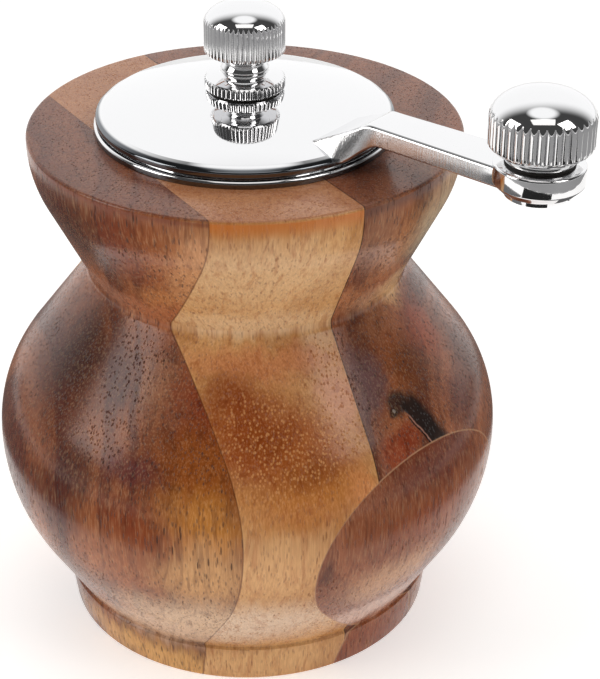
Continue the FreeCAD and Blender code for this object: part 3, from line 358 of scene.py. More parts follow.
def bark_pocket(tree, place, colour, start, end, width):
    """A strip of black inbark along a hairline crack that runs down the outside."""
    half = (end - start).length / 2
    along = (end - start).normalized()
    middle = (start + end) / 2
    across = Vector((middle.x, middle.y, 0.0)).normalized().cross(along)
    offset = add(tree, "VectorMath", MINUS, _0=wandering(tree, place, 1.5, 1.5, 0.5), _1=middle)
    run = add(tree, "VectorMath", DOT, "Value", _0=offset, _1=along)
    side = add(tree, "VectorMath", DOT, "Value", _0=offset, _1=across)
    crack_run = between(tree, run, -half, half + 2.0, 0.6)
    bark = (between(tree, side, 0.0, width, 0.1, 0.9),
            between(tree, run, -half - 2.5, half + 6.0, 1.6, 1.0), "#221b19", 0.95)
    crack = (between(tree, side, -0.38, -0.1), crack_run, "#0d0807", 0.9)
    torn_edge = (between(tree, side, -0.1, 0.1), crack_run, "#b98a78", 0.75)
    for over, down, tone, share in (bark, crack, torn_edge):
        mask = add(tree, "Math", TIMES, _0=over, _1=down)
        shown = add(tree, "Math", TIMES, _0=mask, _1=share)
        colour = add(tree, "Mix", LAY, 2, _0=shown, _6=colour, _7=linear(tone))
    return colour


def glued(tree, place, colour, glue):
    """Lines of glue over a colour, each on a plane given by its normal and its offset."""
    for normal, offset, width, tone, share in glue:
        across = add(tree, "VectorMath", DOT, "Value", _0=place, _1=normal)
        apart = add(tree, "Math", MINUS, _0=across, _1=offset)
        gap = add(tree, "Math", UNSIGNED, _0=apart)
        line = add(tree, "MapRange", Value=gap, From_Min=width, From_Max=width * 0.35,
                   To_Max=share)
        colour = add(tree, "Mix", LAY, 2, _0=line, _6=colour, _7=linear(tone))
    return colour


def open_pores(tree, place):
    """A mask of bold vessels in crowds and fine ones everywhere."""
    # real vessels are about a quarter of a millimetre wide, and these a little more, to show
    cluster = stretched_noise(tree, place, 5.0, 12.0, 1.0, (31, 7, 3))
    crowd = add(tree, "MapRange", Value=cluster, From_Min=0.38, From_Max=0.6)
    bold = add(tree, "Math", TIMES, _1=crowd,
               _0=vessels(tree, place, 0.8, 4.8, 0.21, 1.0, (3.1, 8.7, 1.3)))
    fine = vessels(tree, place, 0.56, 2.8, 0.17, 0.65, (17.3, 2.9, 5.1))
    return add(tree, "Math", {"operation": "MAXIMUM"}, _0=bold, _1=fine)


print("marks ready")

# %% [markdown]
# Now the board itself. Colours are laid from the inside of the tree outwards: growth layers,
# then clouds of darker and paler heartwood, a few pale ones partly painted sheen, knots with one
# painted glint, fine streaks and fibres, and last the marks that the tools and the oil left. The
# same fibres and vessels roughen the oiled surface.

# %% Acacia, oiled to a satin


def growth_layers(tree, grown, light, dark, pith, ring):
    """Light and dark layers by distance from a pith that stands well outside the board."""
    from_pith = add(tree, "VectorMath", MINUS, _0=grown, _1=(*pith, 40.0))
    leaning = add(tree, "VectorMath", TIMES, _0=from_pith, _1=(1 / ring, 1 / ring, 0.1 / ring))
    distance = add(tree, "VectorMath", LENGTH, "Value", _0=leaning)
    layer = add(tree, "TexNoise", {"noise_dimensions": "1D"}, W=distance, Scale=1.0,
                Detail=3.0, Roughness=0.6)
    darker = add(tree, "MapRange", Value=layer, From_Min=0.34, From_Max=0.68)
    return add(tree, "Mix", LAY, 2, _0=darker, _6=linear(light), _7=linear(dark))


def acacia(name, light, dark, pore, pith, ring, patches, glue, burnish, crown, pore_share,
           fleck=None, knots=(), pocket=None):
    """An oiled acacia board: growth layers, colour patches, streaks, fibres, vessels and glue.

    `pith` is where the tree's middle stood and `ring` how thick a growth layer is, both in
    millimetres. `patches` are (azimuth, height, width, length, colour, share), a few of them
    partly painted sheen, and `knots` are round ones; one is a painted glint. `burnish` and
    `crown` tint the rim's edge and its flat top.
    """
    # drying oil films are near 1.5, and an oiled surface reflects less than a varnished one
    material, tree, shader = finish(name, IOR=1.5, Specular_IOR_Level=0.34)
    place = millimetres(tree)
    grown = wandering(tree, place, 13.0, 42.0, 7.0)
    ragged = wandering(tree, grown, 2.0, 16.0, 5.0, (9, 4, 2))
    colour = growth_layers(tree, grown, light, dark, pith, ring)
    for azimuth, level, across, along, tone, share in patches:
        mask = soft_patch(tree, ragged, flank(azimuth, level), (across, across, along), share, 0.2)
        colour = add(tree, "Mix", LAY, 2, _0=mask, _6=colour, _7=linear(tone))
    nearby = wandering(tree, place, 1.2, 1.2, 0.7)
    for azimuth, level, size, tone, share in knots:
        mask = soft_patch(tree, nearby, flank(azimuth, level), (size, size, size), share, 0.45)
        colour = add(tree, "Mix", LAY, 2, _0=mask, _6=colour, _7=linear(tone))
    height = add(tree, "SeparateXYZ", None, "Z", _0=place)
    # end grain drinks more oil than the flanks do, so the rim's flat top reads deeper and pinker
    topmost = add(tree, "MapRange", Value=height, From_Min=RIM - 0.35,
                  From_Max=RIM - 0.1, To_Max=crown[1])
    colour = add(tree, "Mix", LAY, 2, _0=topmost, _6=colour, _7=linear(crown[0]))
    streak = stretched_noise(tree, grown, 0.9, 26.0, 3.0)
    streak_share = add(tree, "MapRange", Value=streak, From_Min=0.5, From_Max=0.66, To_Max=0.38)
    colour = add(tree, "Mix", {**LAY, "blend_type": "MULTIPLY"}, 2,
                 _0=streak_share, _6=colour, _7=linear(dark))
    # fibres are a few hundredths of a millimetre across, too fine to show, so these are coarser
    fibre = stretched_noise(tree, place, 0.3, 4.5, 2.0)
    shade = add(tree, "MapRange", Value=fibre, From_Min=0.3, From_Max=0.6, To_Min=0.2, To_Max=0.0)
    colour = add(tree, "Mix", LAY, 2, _0=shade, _6=colour, _7=linear("#5a260e"))
    shine = add(tree, "MapRange", Value=fibre, From_Min=0.5, From_Max=0.8, To_Max=0.2)
    colour = add(tree, "Mix", LAY, 2, _0=shine, _6=colour, _7=linear("#f0c894"))
    pores = open_pores(tree, place)
    shown = add(tree, "Math", TIMES, _0=pores, _1=pore_share)
    if fleck:
        glints = soft_patch(tree, ragged, *fleck)
        gold = add(tree, "Math", TIMES, _1=glints,
                   _0=vessels(tree, place, 0.62, 0.95, 0.26, 0.6, (5.9, 1.1, 9.3)))
        colour = add(tree, "Mix", LAY, 2, _0=gold, _6=colour, _7=linear("#dfa064"))
        clear = add(tree, "MapRange", Value=glints, To_Min=1.0, To_Max=0.3)
        shown = add(tree, "Math", TIMES, _0=shown, _1=clear)
    colour = add(tree, "Mix", LAY, 2, _0=shown, _6=colour, _7=linear(pore))
    if pocket:
        colour = bark_pocket(tree, place, colour, *pocket)
    # the tool rubbed the rim's edge, so a burnished line runs just under it and fades down
    rising = add(tree, "MapRange", SOFT_STEP, Value=height,
                 From_Min=RIM - burnish[2], From_Max=RIM - 0.9)
    capped = add(tree, "MapRange", Value=height, From_Min=RIM - 0.35, From_Max=RIM - 0.7,
                 To_Max=burnish[1])
    rubbed = add(tree, "Math", TIMES, _0=rising, _1=capped)
    colour = add(tree, "Mix", LAY, 2, _0=rubbed, _6=colour, _7=linear(burnish[0]))
    colour = glued(tree, place, colour, glue)
    satin = add(tree, "MapRange", Value=fibre, From_Min=0.3, From_Max=0.7,
                To_Min=0.19, To_Max=0.26)
    worn = add(tree, "Math", TIMES_PLUS, _0=pores, _1=0.5, _2=satin)
    nap = add(tree, "Math", TIMES, _0=fibre, _1=0.24)
    relief = add(tree, "Math", TIMES_PLUS, _0=pores, _1=-1.0, _2=nap)
    bump = add(tree, "Bump", Height=relief, Strength=0.5, Distance=0.12 * MM)
    dress(tree, shader, Base_Color=colour, Roughness=worn, Normal=bump)
    return material


print("acacia ready")

# %% [markdown]
# The body has three glue joints. Two stand upright and parallel, one of them through the axis,
# and the third leans: a wedge of another board closes the side of the belly. A joint is a hair
# of glue, dark in the upright ones and pale in the leaning one, and it is drawn in the boards'
# own colour where they meet.

# %% The glue joints and the boards' colours
BOARD_TURN = math.radians(70.0)
BOARD_NORMAL = (math.cos(BOARD_TURN), math.sin(BOARD_TURN), 0.0)
LEFT_JOINT, RIGHT_JOINT, WEDGE_JOINT = -24.5, 0.0, 32.0
wedge_turn, wedge_lean = math.radians(-4.8), math.radians(13.2)
WEDGE_NORMAL = (math.cos(wedge_turn) * math.cos(wedge_lean),
                math.sin(wedge_turn) * math.cos(wedge_lean), -math.sin(wedge_lean))
left_glue = (BOARD_NORMAL, LEFT_JOINT, 0.14, "#5a2f18", 0.6)
right_glue = (BOARD_NORMAL, RIGHT_JOINT, 0.16, "#2c160c", 0.8)
wedge_glue = (WEDGE_NORMAL, WEDGE_JOINT, 0.13, "#b98a66", 0.7)

left_wood = acacia(
    "acacia_purple_brown", "#9a5832", "#64301f", "#2a120b", (-75.0, -95.0), 5.5,
    [(-110, 60, 20, 20, "#481a10", 0.75),
     (-100, 88, 14, 16, "#2e1213", 0.7),
     (-84, 90, 9, 12, "#7b391f", 0.8),
     (-70, 88, 10, 16, "#a56036", 0.8),
     (-74, 79, 9, 5, "#c8834f", 0.7),
     (-59, 86, 11, 18, "#d99c6a", 0.85),
     (-95, 74, 16, 4, "#a66e54", 0.75),
     (-72, 74, 18, 6, "#b86e45", 0.75),
     (-108, 62, 9, 13, "#35110b", 0.85),
     (-114, 40, 12, 12, "#5a2214", 0.7),
     (-92, 47, 8, 9, "#3d1513", 0.7),
     (-88, 62, 8, 10, "#491b17", 0.8),
     (-70, 63, 9, 10, "#a67454", 0.8),
     (-78, 50, 8, 5, "#663434", 0.8),
     (-60, 62, 12, 13, "#853519", 0.85),
     (-60, 52, 13, 10, "#9c531d", 0.85),
     (-60, 42, 14, 10, "#d18838", 0.85),
     (-60, 31, 14, 12, "#e2a96f", 0.85),
     (-74, 40, 11, 8, "#8d3d16", 0.7),
     (-80, 30, 13, 11, "#b26d46", 0.7),
     (-100, 38, 10, 12, "#45100d", 0.7),
     (-95, 22, 14, 8, "#805c4c", 0.6),
     # these two pale, pinkish patches low on the belly are partly painted sheen: the floor's
     # reflection
     (-62, 17, 22, 11, "#eac39b", 0.8),
     (-80, 11, 22, 5, "#e7c1a0", 0.7),
     (-75, 3, 34, 6, "#edb367", 0.8)],
    [left_glue], ("#7a3a22", 0.55, 1.6), ("#7c4c3e", 0.5), 0.7)
middle_wood = acacia(
    "acacia_honey", "#d8a066", "#bd8148", "#7a431f", (70.0, -120.0), 6.5,
    [(-45, 85, 26, 12, "#e9c091", 0.75),
     (-45, 74, 26, 4.5, "#ecc497", 0.8),
     (-45, 67, 22, 4, "#ce7f51", 0.7),
     (-48, 56, 18, 13, "#9e4412", 0.85),
     (-34, 53, 14, 9, "#b26229", 0.85),
     # a pinkish patch that is partly painted sheen
     (-24, 61, 6, 12, "#dd9976", 0.75),
     (-38, 46, 18, 8, "#ca7d39", 0.85),
     (-24, 46, 5, 8, "#e69358", 0.6),
     (-48, 33, 18, 9, "#eab37b", 0.8),
     # pale and pinkish low on the belly: partly painted sheen, the floor's reflection
     (-50, 17, 26, 10, "#e9cbad", 0.8),
     (-48, 4, 26, 6, "#edbb80", 0.7),
     (-55, 62, 8, 6, "#8f4117", 0.8),
     (-46, 57, 8, 5, "#944816", 0.7),
     (-36, 51, 8, 4, "#964e1d", 0.7),
     (150, 60, 30, 40, "#b9763c", 0.6)],
    [left_glue, right_glue], ("#c66f2a", 0.8, 4.0), ("#b9795a", 0.65), 0.5,
    fleck=(flank(-42, 55), (19, 19, 14), 1.0, 0.4))
right_wood = acacia(
    "acacia_dark_heart", "#a86440", "#6a3826", "#24100a", (95.0, 60.0), 6.0,
    [(-14, 90, 8, 16, "#a57255", 0.8),
     (0, 86, 10, 14, "#be8051", 0.75),
     (16, 88, 12, 16, "#edd6ae", 0.6),
     (-15, 77, 7, 5, "#bd7c54", 0.8),
     (-2, 74, 9, 4, "#c89471", 0.8),
     (12, 73, 10, 6, "#edbe85", 0.7),
     (-3, 68, 8, 4, "#9e6647", 0.7),
     # mauve-grey beside the joint: partly painted sheen
     (-15, 62, 6, 12, "#725150", 0.92),
     (2, 61, 9, 9, "#733b1a", 0.85),
     (18, 64, 8, 9, "#a24619", 0.8),
     (14, 52, 10, 8, "#56170d", 0.7),
     (-13, 50, 6, 5, "#9f6653", 0.9),
     (30, 56, 10, 16, "#43150d", 0.7),
     (60, 40, 30, 30, "#8f5836", 0.5)],
    [right_glue, wedge_glue], ("#5a2c1a", 0.6, 3.0), ("#84503e", 0.5), 0.7, knots=[
        (-13.0, 50.5, 4.6, "#9c4424", 0.85), (-8.5, 52.0, 3.4, "#8f3a1e", 0.85),
        (-7.8, 57.0, 3.2, "#2a2120", 0.9), (-10.4, 55.9, 1.3, "#1a1413", 0.85),
        # the last of these, a tiny pale grey dot in the knot, is a painted glint
        (-10.0, 56.2, 0.45, "#9a8f86", 0.9)],
    pocket=(flank(-6.3, 54.7), flank(-2.8, 49.5), 3.3))
wedge_wood = acacia(
    "acacia_red_brown", "#a3603c", "#7a3e26", "#451f12", (120.0, -30.0), 7.0,
    [(-4, 46, 18, 7, "#68291d", 0.75),
     (-5, 36, 16, 6, "#934621", 0.75),
     (-14, 24, 15, 8, "#cb9973", 0.8),
     # pale pink low on the belly: partly painted sheen, the floor's reflection
     (-14, 13, 16, 7, "#edc7b3", 0.8),
     (8, 24, 12, 10, "#6e4432", 0.7),
     (-33, 30, 3.0, 5, "#5c2c1c", 0.8),
     (-10, 3, 26, 6, "#91431e", 0.8)],
    [wedge_glue], ("#5a2c1a", 0.0, 3.0), ("#84503e", 0.0), 0.45)
print("four boards coloured")

# %% [markdown]
# Each board is the whole turned blank with everything beyond its joints sawn away. Blender's
# bisect does the sawing, and the cut is filled at once, so a board is a closed solid that could
# be taken out. The bore, its ledges and the open foot are part of the same outline.

# %% Turn the blank and saw it into boards
BORE = [(27.5, 0.0), (27.5, 8.0), (25.0, 8.0), (25.0, 14.5), (21.0, 14.5), (21.0, 29.5),
        (17.5, 29.5), (17.5, 88.7), (21.5, 88.7), (21.5, RIM)]
WOOD_TURNS = 720
# metres; a point nearer to the saw's plane than this counts as lying on it
SNAP = 1e-8
blank_part = spun(outside + straight(outside[-1], BORE[-1], 6) + BORE[::-1]
                  + straight(BORE[0], outside[0], 3), WOOD_TURNS)


def board(name, node, wood, cuts):
    """The blank kept on one side of each cut, the sawn faces filled."""
    bm = bmesh.new()
    corners = [bm.verts.new([c * MM for c in p]) for p in blank_part[0]]
    for face in blank_part[1]:
        bm.faces.new([corners[i] for i in face])
    bmesh.ops.recalc_face_normals(bm, faces=bm.faces)
    for normal, offset, keep_beyond in cuts:
        outward = Vector(normal) * (-1 if keep_beyond else 1)
        cut = bmesh.ops.bisect_plane(
            bm, geom=bm.verts[:] + bm.edges[:] + bm.faces[:], dist=SNAP,
            plane_co=Vector(normal) * offset * MM, plane_no=outward, clear_outer=True)
        edges = [e for e in cut["geom_cut"] if isinstance(e, bmesh.types.BMEdge)]
        bmesh.ops.triangle_fill(bm, use_beauty=True, edges=edges, normal=outward)
    mesh = bpy.data.meshes.new(name)
    bm.to_mesh(mesh)
    print(name, "vertices:", len(mesh.vertices), "open edges:",
          sum(edge.is_boundary for edge in bm.edges))
    bm.free()
    return placed(name, mesh, wood, "mill_body", node, 40)


board("left_board_turned", "left_board", left_wood,
      [(BOARD_NORMAL, LEFT_JOINT, False)])
board("middle_board_turned", "middle_board", middle_wood,
      [(BOARD_NORMAL, LEFT_JOINT, True), (BOARD_NORMAL, RIGHT_JOINT, False),
       (WEDGE_NORMAL, WEDGE_JOINT, False)])
board("right_board_turned", "right_board", right_wood,
      [(BOARD_NORMAL, RIGHT_JOINT, True), (WEDGE_NORMAL, WEDGE_JOINT, False)])
board("side_board_turned", "side_board", wedge_wood,
      [(WEDGE_NORMAL, WEDGE_JOINT, True)])

# %% [markdown]
# The bright metal is nickel and chrome plated on to a zinc casting or turned brass. Plate that is
# polished first mirrors the room, with only a breath of blur and a little waviness. Where a
# casting was not polished, as on the flanks of the crank arm, the plate keeps the mould's skin.

# %% Chrome, polished and as cast
BRIGHT_PLATE, SHADED_PLATE = linear("#e9e9ea"), linear("#74777b")


def cove_shade(tree, place, middle, reach):
    """The plate's colour, with painted shade in a ring about a height between the cove's radii."""
    height = add(tree, "SeparateXYZ", None, "Z", _0=place)
    above = add(tree, "Math", MINUS, _0=height, _1=middle)
    level = add(tree, "Math", UNSIGNED, _0=above)
    band = add(tree, "MapRange", SOFT_STEP, Value=level, From_Min=reach, From_Max=reach * 0.7)
    flat = add(tree, "VectorMath", TIMES, _0=place, _1=(1, 1, 0))
    radius = add(tree, "VectorMath", LENGTH, "Value", _0=flat)
    beyond_lid = add(tree, "MapRange", Value=radius, From_Min=24.6, From_Max=25.2)
    inside_rim = add(tree, "MapRange", Value=radius, From_Min=27.6, From_Max=27.2)
    ring = add(tree, "Math", TIMES, _0=beyond_lid, _1=inside_rim)
    painted_shade = add(tree, "Math", TIMES, _0=band, _1=ring)
    return add(tree, "Mix", LAY, 2, _0=painted_shade, _6=BRIGHT_PLATE, _7=SHADED_PLATE)


def cast_skin(tree, place, begin):
    """A mask of the upright faces of the arm that the polisher's wheel never reached."""
    out_along = add(tree, "SeparateXYZ", None, "X", _0=place)
    facing = add(tree, "VectorTransform",
                 {"vector_type": "NORMAL", "convert_from": "WORLD", "convert_to": "OBJECT"},
                 _0=add(tree, "NewGeometry", None, "True Normal"))
    sideways = add(tree, "Math", UNSIGNED, _0=add(tree, "SeparateXYZ", None, "Y", _0=facing))
    upright = add(tree, "MapRange", Value=sideways, From_Min=0.75, From_Max=0.9)
    begins = add(tree, "MapRange", Value=out_along, From_Min=begin, From_Max=begin + 1.5)
    # the eye at the arm's end is polished again
    ends = add(tree, "MapRange", Value=out_along, From_Min=56.0, From_Max=53.0)
    beyond = add(tree, "Math", TIMES, _0=upright, _1=begins)
    return add(tree, "Math", TIMES, _0=beyond, _1=ends)


def chrome(name, blur=0.045, wave=0.03, cast_from=None, cove=None):
    """Bright plate. Upright faces beyond `cast_from` stay as cast; `cove` places painted shade."""
    material, tree, shader = finish(name, Base_Color=BRIGHT_PLATE, Metallic=1.0)
    place = millimetres(tree)
    smear = stretched_noise(tree, place, 3.0, 3.0, 3.0, (4, 9, 2))
    rough = add(tree, "MapRange", Value=smear, From_Min=0.35, From_Max=0.7,
                To_Min=blur * 0.6, To_Max=blur * 1.5)
    swell = stretched_noise(tree, place, 2.2, 2.2, 1.0)
    relief = add(tree, "Math", TIMES, _0=swell, _1=wave)
    # the cove's band is painted shade laid over the plate's colour
    if cove:
        dress(tree, shader, Base_Color=cove_shade(tree, place, *cove))
    if cast_from is not None:
        skin = cast_skin(tree, place, cast_from)
        streaks = stretched_noise(tree, place, 0.32, 3.2, 3.0, (2, 2, 2))
        rough = add(tree, "Math", TIMES_PLUS, _0=skin, _1=0.22, _2=rough)
        skin_relief = add(tree, "Math", TIMES, _0=skin, _1=streaks)
        relief = add(tree, "Math", TIMES_PLUS, _0=skin_relief, _1=0.9, _2=relief)
    bump = add(tree, "Bump", Height=relief, Strength=0.35, Distance=0.15 * MM)
    dress(tree, shader, Roughness=rough, Normal=bump)
    return material


# the lid's rolled edge gets a band of painted shade where it mirrors the dark wood
lid_chrome = chrome("chrome_on_zinc", cast_from=20.0, cove=(RIM + 2.3, 1.1))
knob_chrome = chrome("chrome_on_brass", 0.04, 0.015)
# the bezel's cove gets a band of painted shade
bezel_chrome = chrome("chrome_on_pressed_steel", 0.05, 0.02, cove=(RIM + 0.3, 0.75))
print("chrome ready")

# %% [markdown]
# The bezel is a pressed ring that lines the rim of the bore. It shows as a bright outer bead, a
# dark cove, and one more thin bright line before the lid's own edge. The cove's dark is partly
# painted shade.

# %% The bezel ring
METAL_TURNS = 384
bezel_outline = rounded([
    (20.45, 92.3, 0.15), (21.45, 92.3, 0.15), (21.45, RIM, 0.0), (27.0, RIM, 0.12),
    (27.0, RIM + 1.3, 0.6), (25.9, RIM + 1.3, 0.45), (25.6, RIM + 0.5, 0.25),
    (25.0, RIM + 0.45, 0.2), (24.75, RIM + 0.95, 0.2), (24.3, RIM + 0.95, 0.2),
    (24.0, RIM + 0.8, 0.1), (20.45, RIM + 0.8, 0.3)], 6)
piece("bezel_ring_pressed", spun(bezel_outline, METAL_TURNS), bezel_chrome, "mill_body",
      "bezel_ring")
print("bezel spun from", len(bezel_outline), "points")

# %% [markdown]
# Lid, hub and crank arm are one casting. The lid is a shallow dome with a rolled edge; the arm
# rises out of it on a wide foot, bends, and runs out level to a round eye. The dome is spun, and
# the arm is drawn as a row of rounded cross-sections joined along its length.

# %% The lid's dome
SHAFT_HALF = 3.05
lid_corners = [
    (SHAFT_HALF, 96.55, 0.0), (7.5, 96.55, 0.4), (7.5, RIM + 5.3, 0.8), (16.0, RIM + 4.1, 0.0),
    (24.6, RIM + 1.95, 0.3), (24.9, RIM + 1.7, 0.2), (26.6, RIM + 1.7, 0.35),
    (26.6, RIM + 2.75, 0.5), (25.9, RIM + 3.25, 0.2), (25.3, RIM + 3.57, 0.35)]
DOME_EDGE, DOME_RUN, DOME_STEPS, DOME_DROP = 25.0, 18.2, 24, 171.6
dome_radii = [DOME_EDGE - DOME_RUN * i / DOME_STEPS for i in range(DOME_STEPS + 1)]
dome = [(radius, RIM + 7.3 - radius ** 2 / DOME_DROP) for radius in dome_radii]
# the last corner's arc is made again, so that it runs into the dome and not into the bore
edge_steps = 5
into_dome = [(25.9, RIM + 3.25, 0), (25.3, RIM + 3.57, 0.35), (*dome[0], 0)]
lid_outline = rounded(lid_corners, edge_steps)[:-edge_steps - 1]
lid_outline += rounded(into_dome, edge_steps)[1:-1] + dome
lid_outline += [(6.6, RIM + 7.05), (SHAFT_HALF, RIM + 7.05)]
last_lid = len(lid_outline) - 1


def square_bore(j, radius, _, angle):
    """The first and last points follow a square hole, and the rest stay round."""
    if j in (0, last_lid):
        return SHAFT_HALF / max(abs(math.cos(angle)), abs(math.sin(angle)))
    return radius


lid_dome = spun(lid_outline, METAL_TURNS, square_bore)
print("lid outline points:", len(lid_outline))

# %% The crank arm and its eye
THROW = (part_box("knob_screw")[0].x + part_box("knob_screw")[1].x) / 2 / MM
ARM_START, ARM_LENGTH, ARM_END = 19.2, 42.1, 61.3
# distance out, top, bottom, half width at the top, half width at the bottom
ARM_STATIONS = [
    (ARM_START, 4.2, 3.4, 7.1, 7.3), (20.1, 4.7, 3.0, 6.8, 7.2), (25.0, 7.05, 1.95, 5.6, 8.0),
    (27.2, 8.1, 2.6, 4.9, 6.9), (29.6, 9.5, 4.9, 4.15, 5.0), (31.5, 9.5, 6.0, 4.05, 4.2),
    (40.0, 9.5, 6.0, 4.25, 4.3), (ARM_END, 9.5, 6.0, 4.8, 4.8)]
ARM_CUTS, SOFTEN_STEP, SOFTEN = 168, 0.25, [1, 2, 3, 4, 5, 4, 3, 2, 1]


def measured(at):
    """The arm's top, bottom and half widths at a distance out, straight between stations."""
    for low, high in zip(ARM_STATIONS, ARM_STATIONS[1:]):
        if at <= high[0]:
            share = (at - low[0]) / (high[0] - low[0])
            return [a + (b - a) * share for a, b in zip(low[1:], high[1:])]


def station(x):
    """The same four sizes, averaged over a millimetre either way to soften the bend."""
    near = [measured(min(max(x + step * SOFTEN_STEP, ARM_START), ARM_END))
            for step in range(-4, 5)]
    return [sum(w * n[k] for w, n in zip(SOFTEN, near)) / sum(SOFTEN) for k in range(4)]


def arm_section(x):
    """One cross-section of the arm: crisp, thinly rounded top edges and a softer underside."""
    top, bottom, wide, low_wide = station(x)
    corners = [(-low_wide, bottom, 0.45), (low_wide, bottom, 0.45), (wide, top - 0.45, 0.1),
               (wide - 0.12, top - 0.28, 0.06), (wide - 0.5, top, 0.3), (-wide + 0.5, top, 0.3),
               (-wide + 0.12, top - 0.28, 0.06), (-wide, top - 0.45, 0.1)]
    return [(x, y, RIM + z) for y, z in rounded(corners, 3)]


def lofted(sections):
    """Cross-sections joined into one closed skin."""
    count = len(sections[0])
    points = [p for section in sections for p in section]
    faces = [list(range(count))[::-1], list(range(len(points) - count, len(points)))]
    for s in range(len(sections) - 1):
        for i in range(count):
            k = (i + 1) % count
            faces.append([s * count + i, s * count + k, (s + 1) * count + k, (s + 1) * count + i])
    return points, faces


arm = lofted([arm_section(ARM_START + ARM_LENGTH * i / ARM_CUTS) for i in range(ARM_CUTS + 1)])
eye_outline = rounded([
    (3.05, RIM + 6.0, 0.15), (6.3, RIM + 6.0, 0.3), (7.6, RIM + 7.3, 0.4), (7.6, RIM + 10.6, 0.45),
    (3.05, RIM + 10.6, 0.15)], 5)
EYE_TURNS = 128
eye = spun(eye_outline, EYE_TURNS, centre=(THROW, 0.0))
piece("crank_lid_cast", joined(lid_dome, arm, eye), lid_chrome, "crank", "crank_lid")
print("arm reaches", round(THROW, 2), "mm out")

# %% [markdown]
# Both knobs are turned from brass rod and straight-knurled: a wheel presses upright ribs into
# the rim. The grooves run out through the domed top, which leaves a zigzag edge. So the ribs are
# made by never letting the outline stand further out than the grooves allow.

# %% Knurled knobs
POINTS_PER_RIB, RIB_FULLNESS = 12, 0.8
KNOB_TOP, KNOB_CREASE = RIM + 23.1, 28


def dome_points(radius, low, high, count):
    """A domed top, a quarter of an ellipse from its edge to its middle."""
    angles = [math.pi / 2 * i / count for i in range(count)]
    arc = [(radius * math.cos(a), low + (high - low) * math.sin(a)) for a in angles]
    return arc + [(0.0, high)]


def ribbed(outline, ribs, depth, bands, centre=(0.0, 0.0)):
    """An outline spun with upright ribs pressed into it over (low, high) bands of height."""
    limit = max(p[0] for p in outline)

    def shape(_, radius, height, angle):
        if not any(low <= height <= high for low, high in bands):
            return radius
        groove = abs(math.sin(angle * ribs / 2)) ** RIB_FULLNESS
        return min(radius, limit - depth * (1.0 - groove))

    return spun(outline, ribs * POINTS_PER_RIB, shape, centre)


def fine_steps(start, end, step=0.12):
    """Points along a straight run, close enough for ribs to end on it cleanly."""
    count = max(2, int(math.dist(start, end) / step))
    return straight(start, end, count) + [end]


CRANK_KNOB = 8.65
crank_outline = rounded([
    (0.0, RIM + 20.0, 0), (2.05, RIM + 20.0, 0), (2.05, RIM + 11.1, 0.1), (6.0, RIM + 11.1, 0.25),
    (5.6, RIM + 12.3, 0.8), (7.4, RIM + 13.0, 0.3), (7.9, RIM + 13.05, 0)], 5)
crank_outline += fine_steps(crank_outline[-1], (CRANK_KNOB, RIM + 13.85))
crank_outline += fine_steps((CRANK_KNOB, RIM + 13.85), (CRANK_KNOB, RIM + 18.3), 0.6)
crank_outline += dome_points(CRANK_KNOB, RIM + 18.3, KNOB_TOP, 60)[1:]
crank_knob = ribbed(crank_outline, 40, 0.42, [(RIM + 13.1, RIM + 20.2)], (THROW, 0.0))
piece("crank_knob_knurled", crank_knob, knob_chrome, "knob", "crank_knob",
      KNOB_CREASE)

# %% The adjuster knob
ADJUSTER, LOW_EDGE = 7.15, 105.05
adjuster_outline = rounded([
    (0.0, RIM + 17.5, 0), (2.55, RIM + 17.5, 0), (2.55, LOW_EDGE, 0.1), (6.7, LOW_EDGE, 0.1)], 4)
adjuster_outline += fine_steps((6.8, LOW_EDGE), (ADJUSTER, LOW_EDGE + 0.35))
adjuster_outline += fine_steps((ADJUSTER, LOW_EDGE + 0.35), (ADJUSTER, RIM + 9.1), 0.5)
adjuster_outline += fine_steps((ADJUSTER, RIM + 9.1), (6.8, RIM + 9.42))
adjuster_outline += rounded([
    (6.6, RIM + 9.47, 0), (4.6, RIM + 9.85, 0.5), (3.95, RIM + 10.3, 0.3), (4.4, RIM + 11.1, 1.2),
    (3.75, RIM + 12.15, 0.3), (3.5, RIM + 12.35, 0.1), (3.85, RIM + 12.6, 0.2),
    (3.5, RIM + 12.9, 0.1), (4.4, RIM + 13.4, 0.8), (6.4, RIM + 13.85, 0.3),
    (6.7, RIM + 14.0, 0)], 5)
adjuster_outline += fine_steps((6.7, RIM + 14.0), (ADJUSTER, RIM + 14.35))
adjuster_outline += fine_steps((ADJUSTER, RIM + 14.35), (ADJUSTER, RIM + 19.4), 0.6)
adjuster_outline += dome_points(ADJUSTER, RIM + 19.4, KNOB_TOP, 56)[1:]
flange, head = (0.0, RIM + 9.45), (RIM + 13.95, RIM + 21.2)
piece("adjuster_knob_knurled", ribbed(adjuster_outline, 49, 0.36, [flange, head]), knob_chrome,
      "adjuster", "adjuster_knob", KNOB_CREASE)
print("both knobs knurled")

# %% [markdown]
# The mechanism inside is plain machine parts: zinc-plated steel, drawn bright steel, hardened
# burr steel, spring wire, a turned brass bush, two moulded plastics and pressed fibre washers.
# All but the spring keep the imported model's shapes. Each gets the surface that its making leaves.

# %% Steel, brass and plastics


def worked_metal(name, tone, rough, stained, depth, across=0.25, along=6.0):
    """A machined, drawn or plated metal with its tool marks, `depth` millimetres deep."""
    material, tree, shader = finish(name, Metallic=1.0)
    place = millimetres(tree)
    marks = stretched_noise(tree, place, across, along, 3.0)
    stain = stretched_noise(tree, place, 5.0, 5.0, 3.0, (3, 5, 8))
    share = add(tree, "MapRange", Value=stain, From_Min=0.35, From_Max=0.75, To_Max=0.45)
    colour = add(tree, "Mix", LAY, 2, _0=share, _6=linear(tone), _7=linear(stained))
    sheen = add(tree, "MapRange", Value=marks, From_Min=0.3, From_Max=0.7,
                To_Min=rough * 0.75, To_Max=rough * 1.25)
    bump = add(tree, "Bump", Height=marks, Strength=0.3, Distance=depth * MM)
    dress(tree, shader, Base_Color=colour, Roughness=sheen, Normal=bump)
    return material


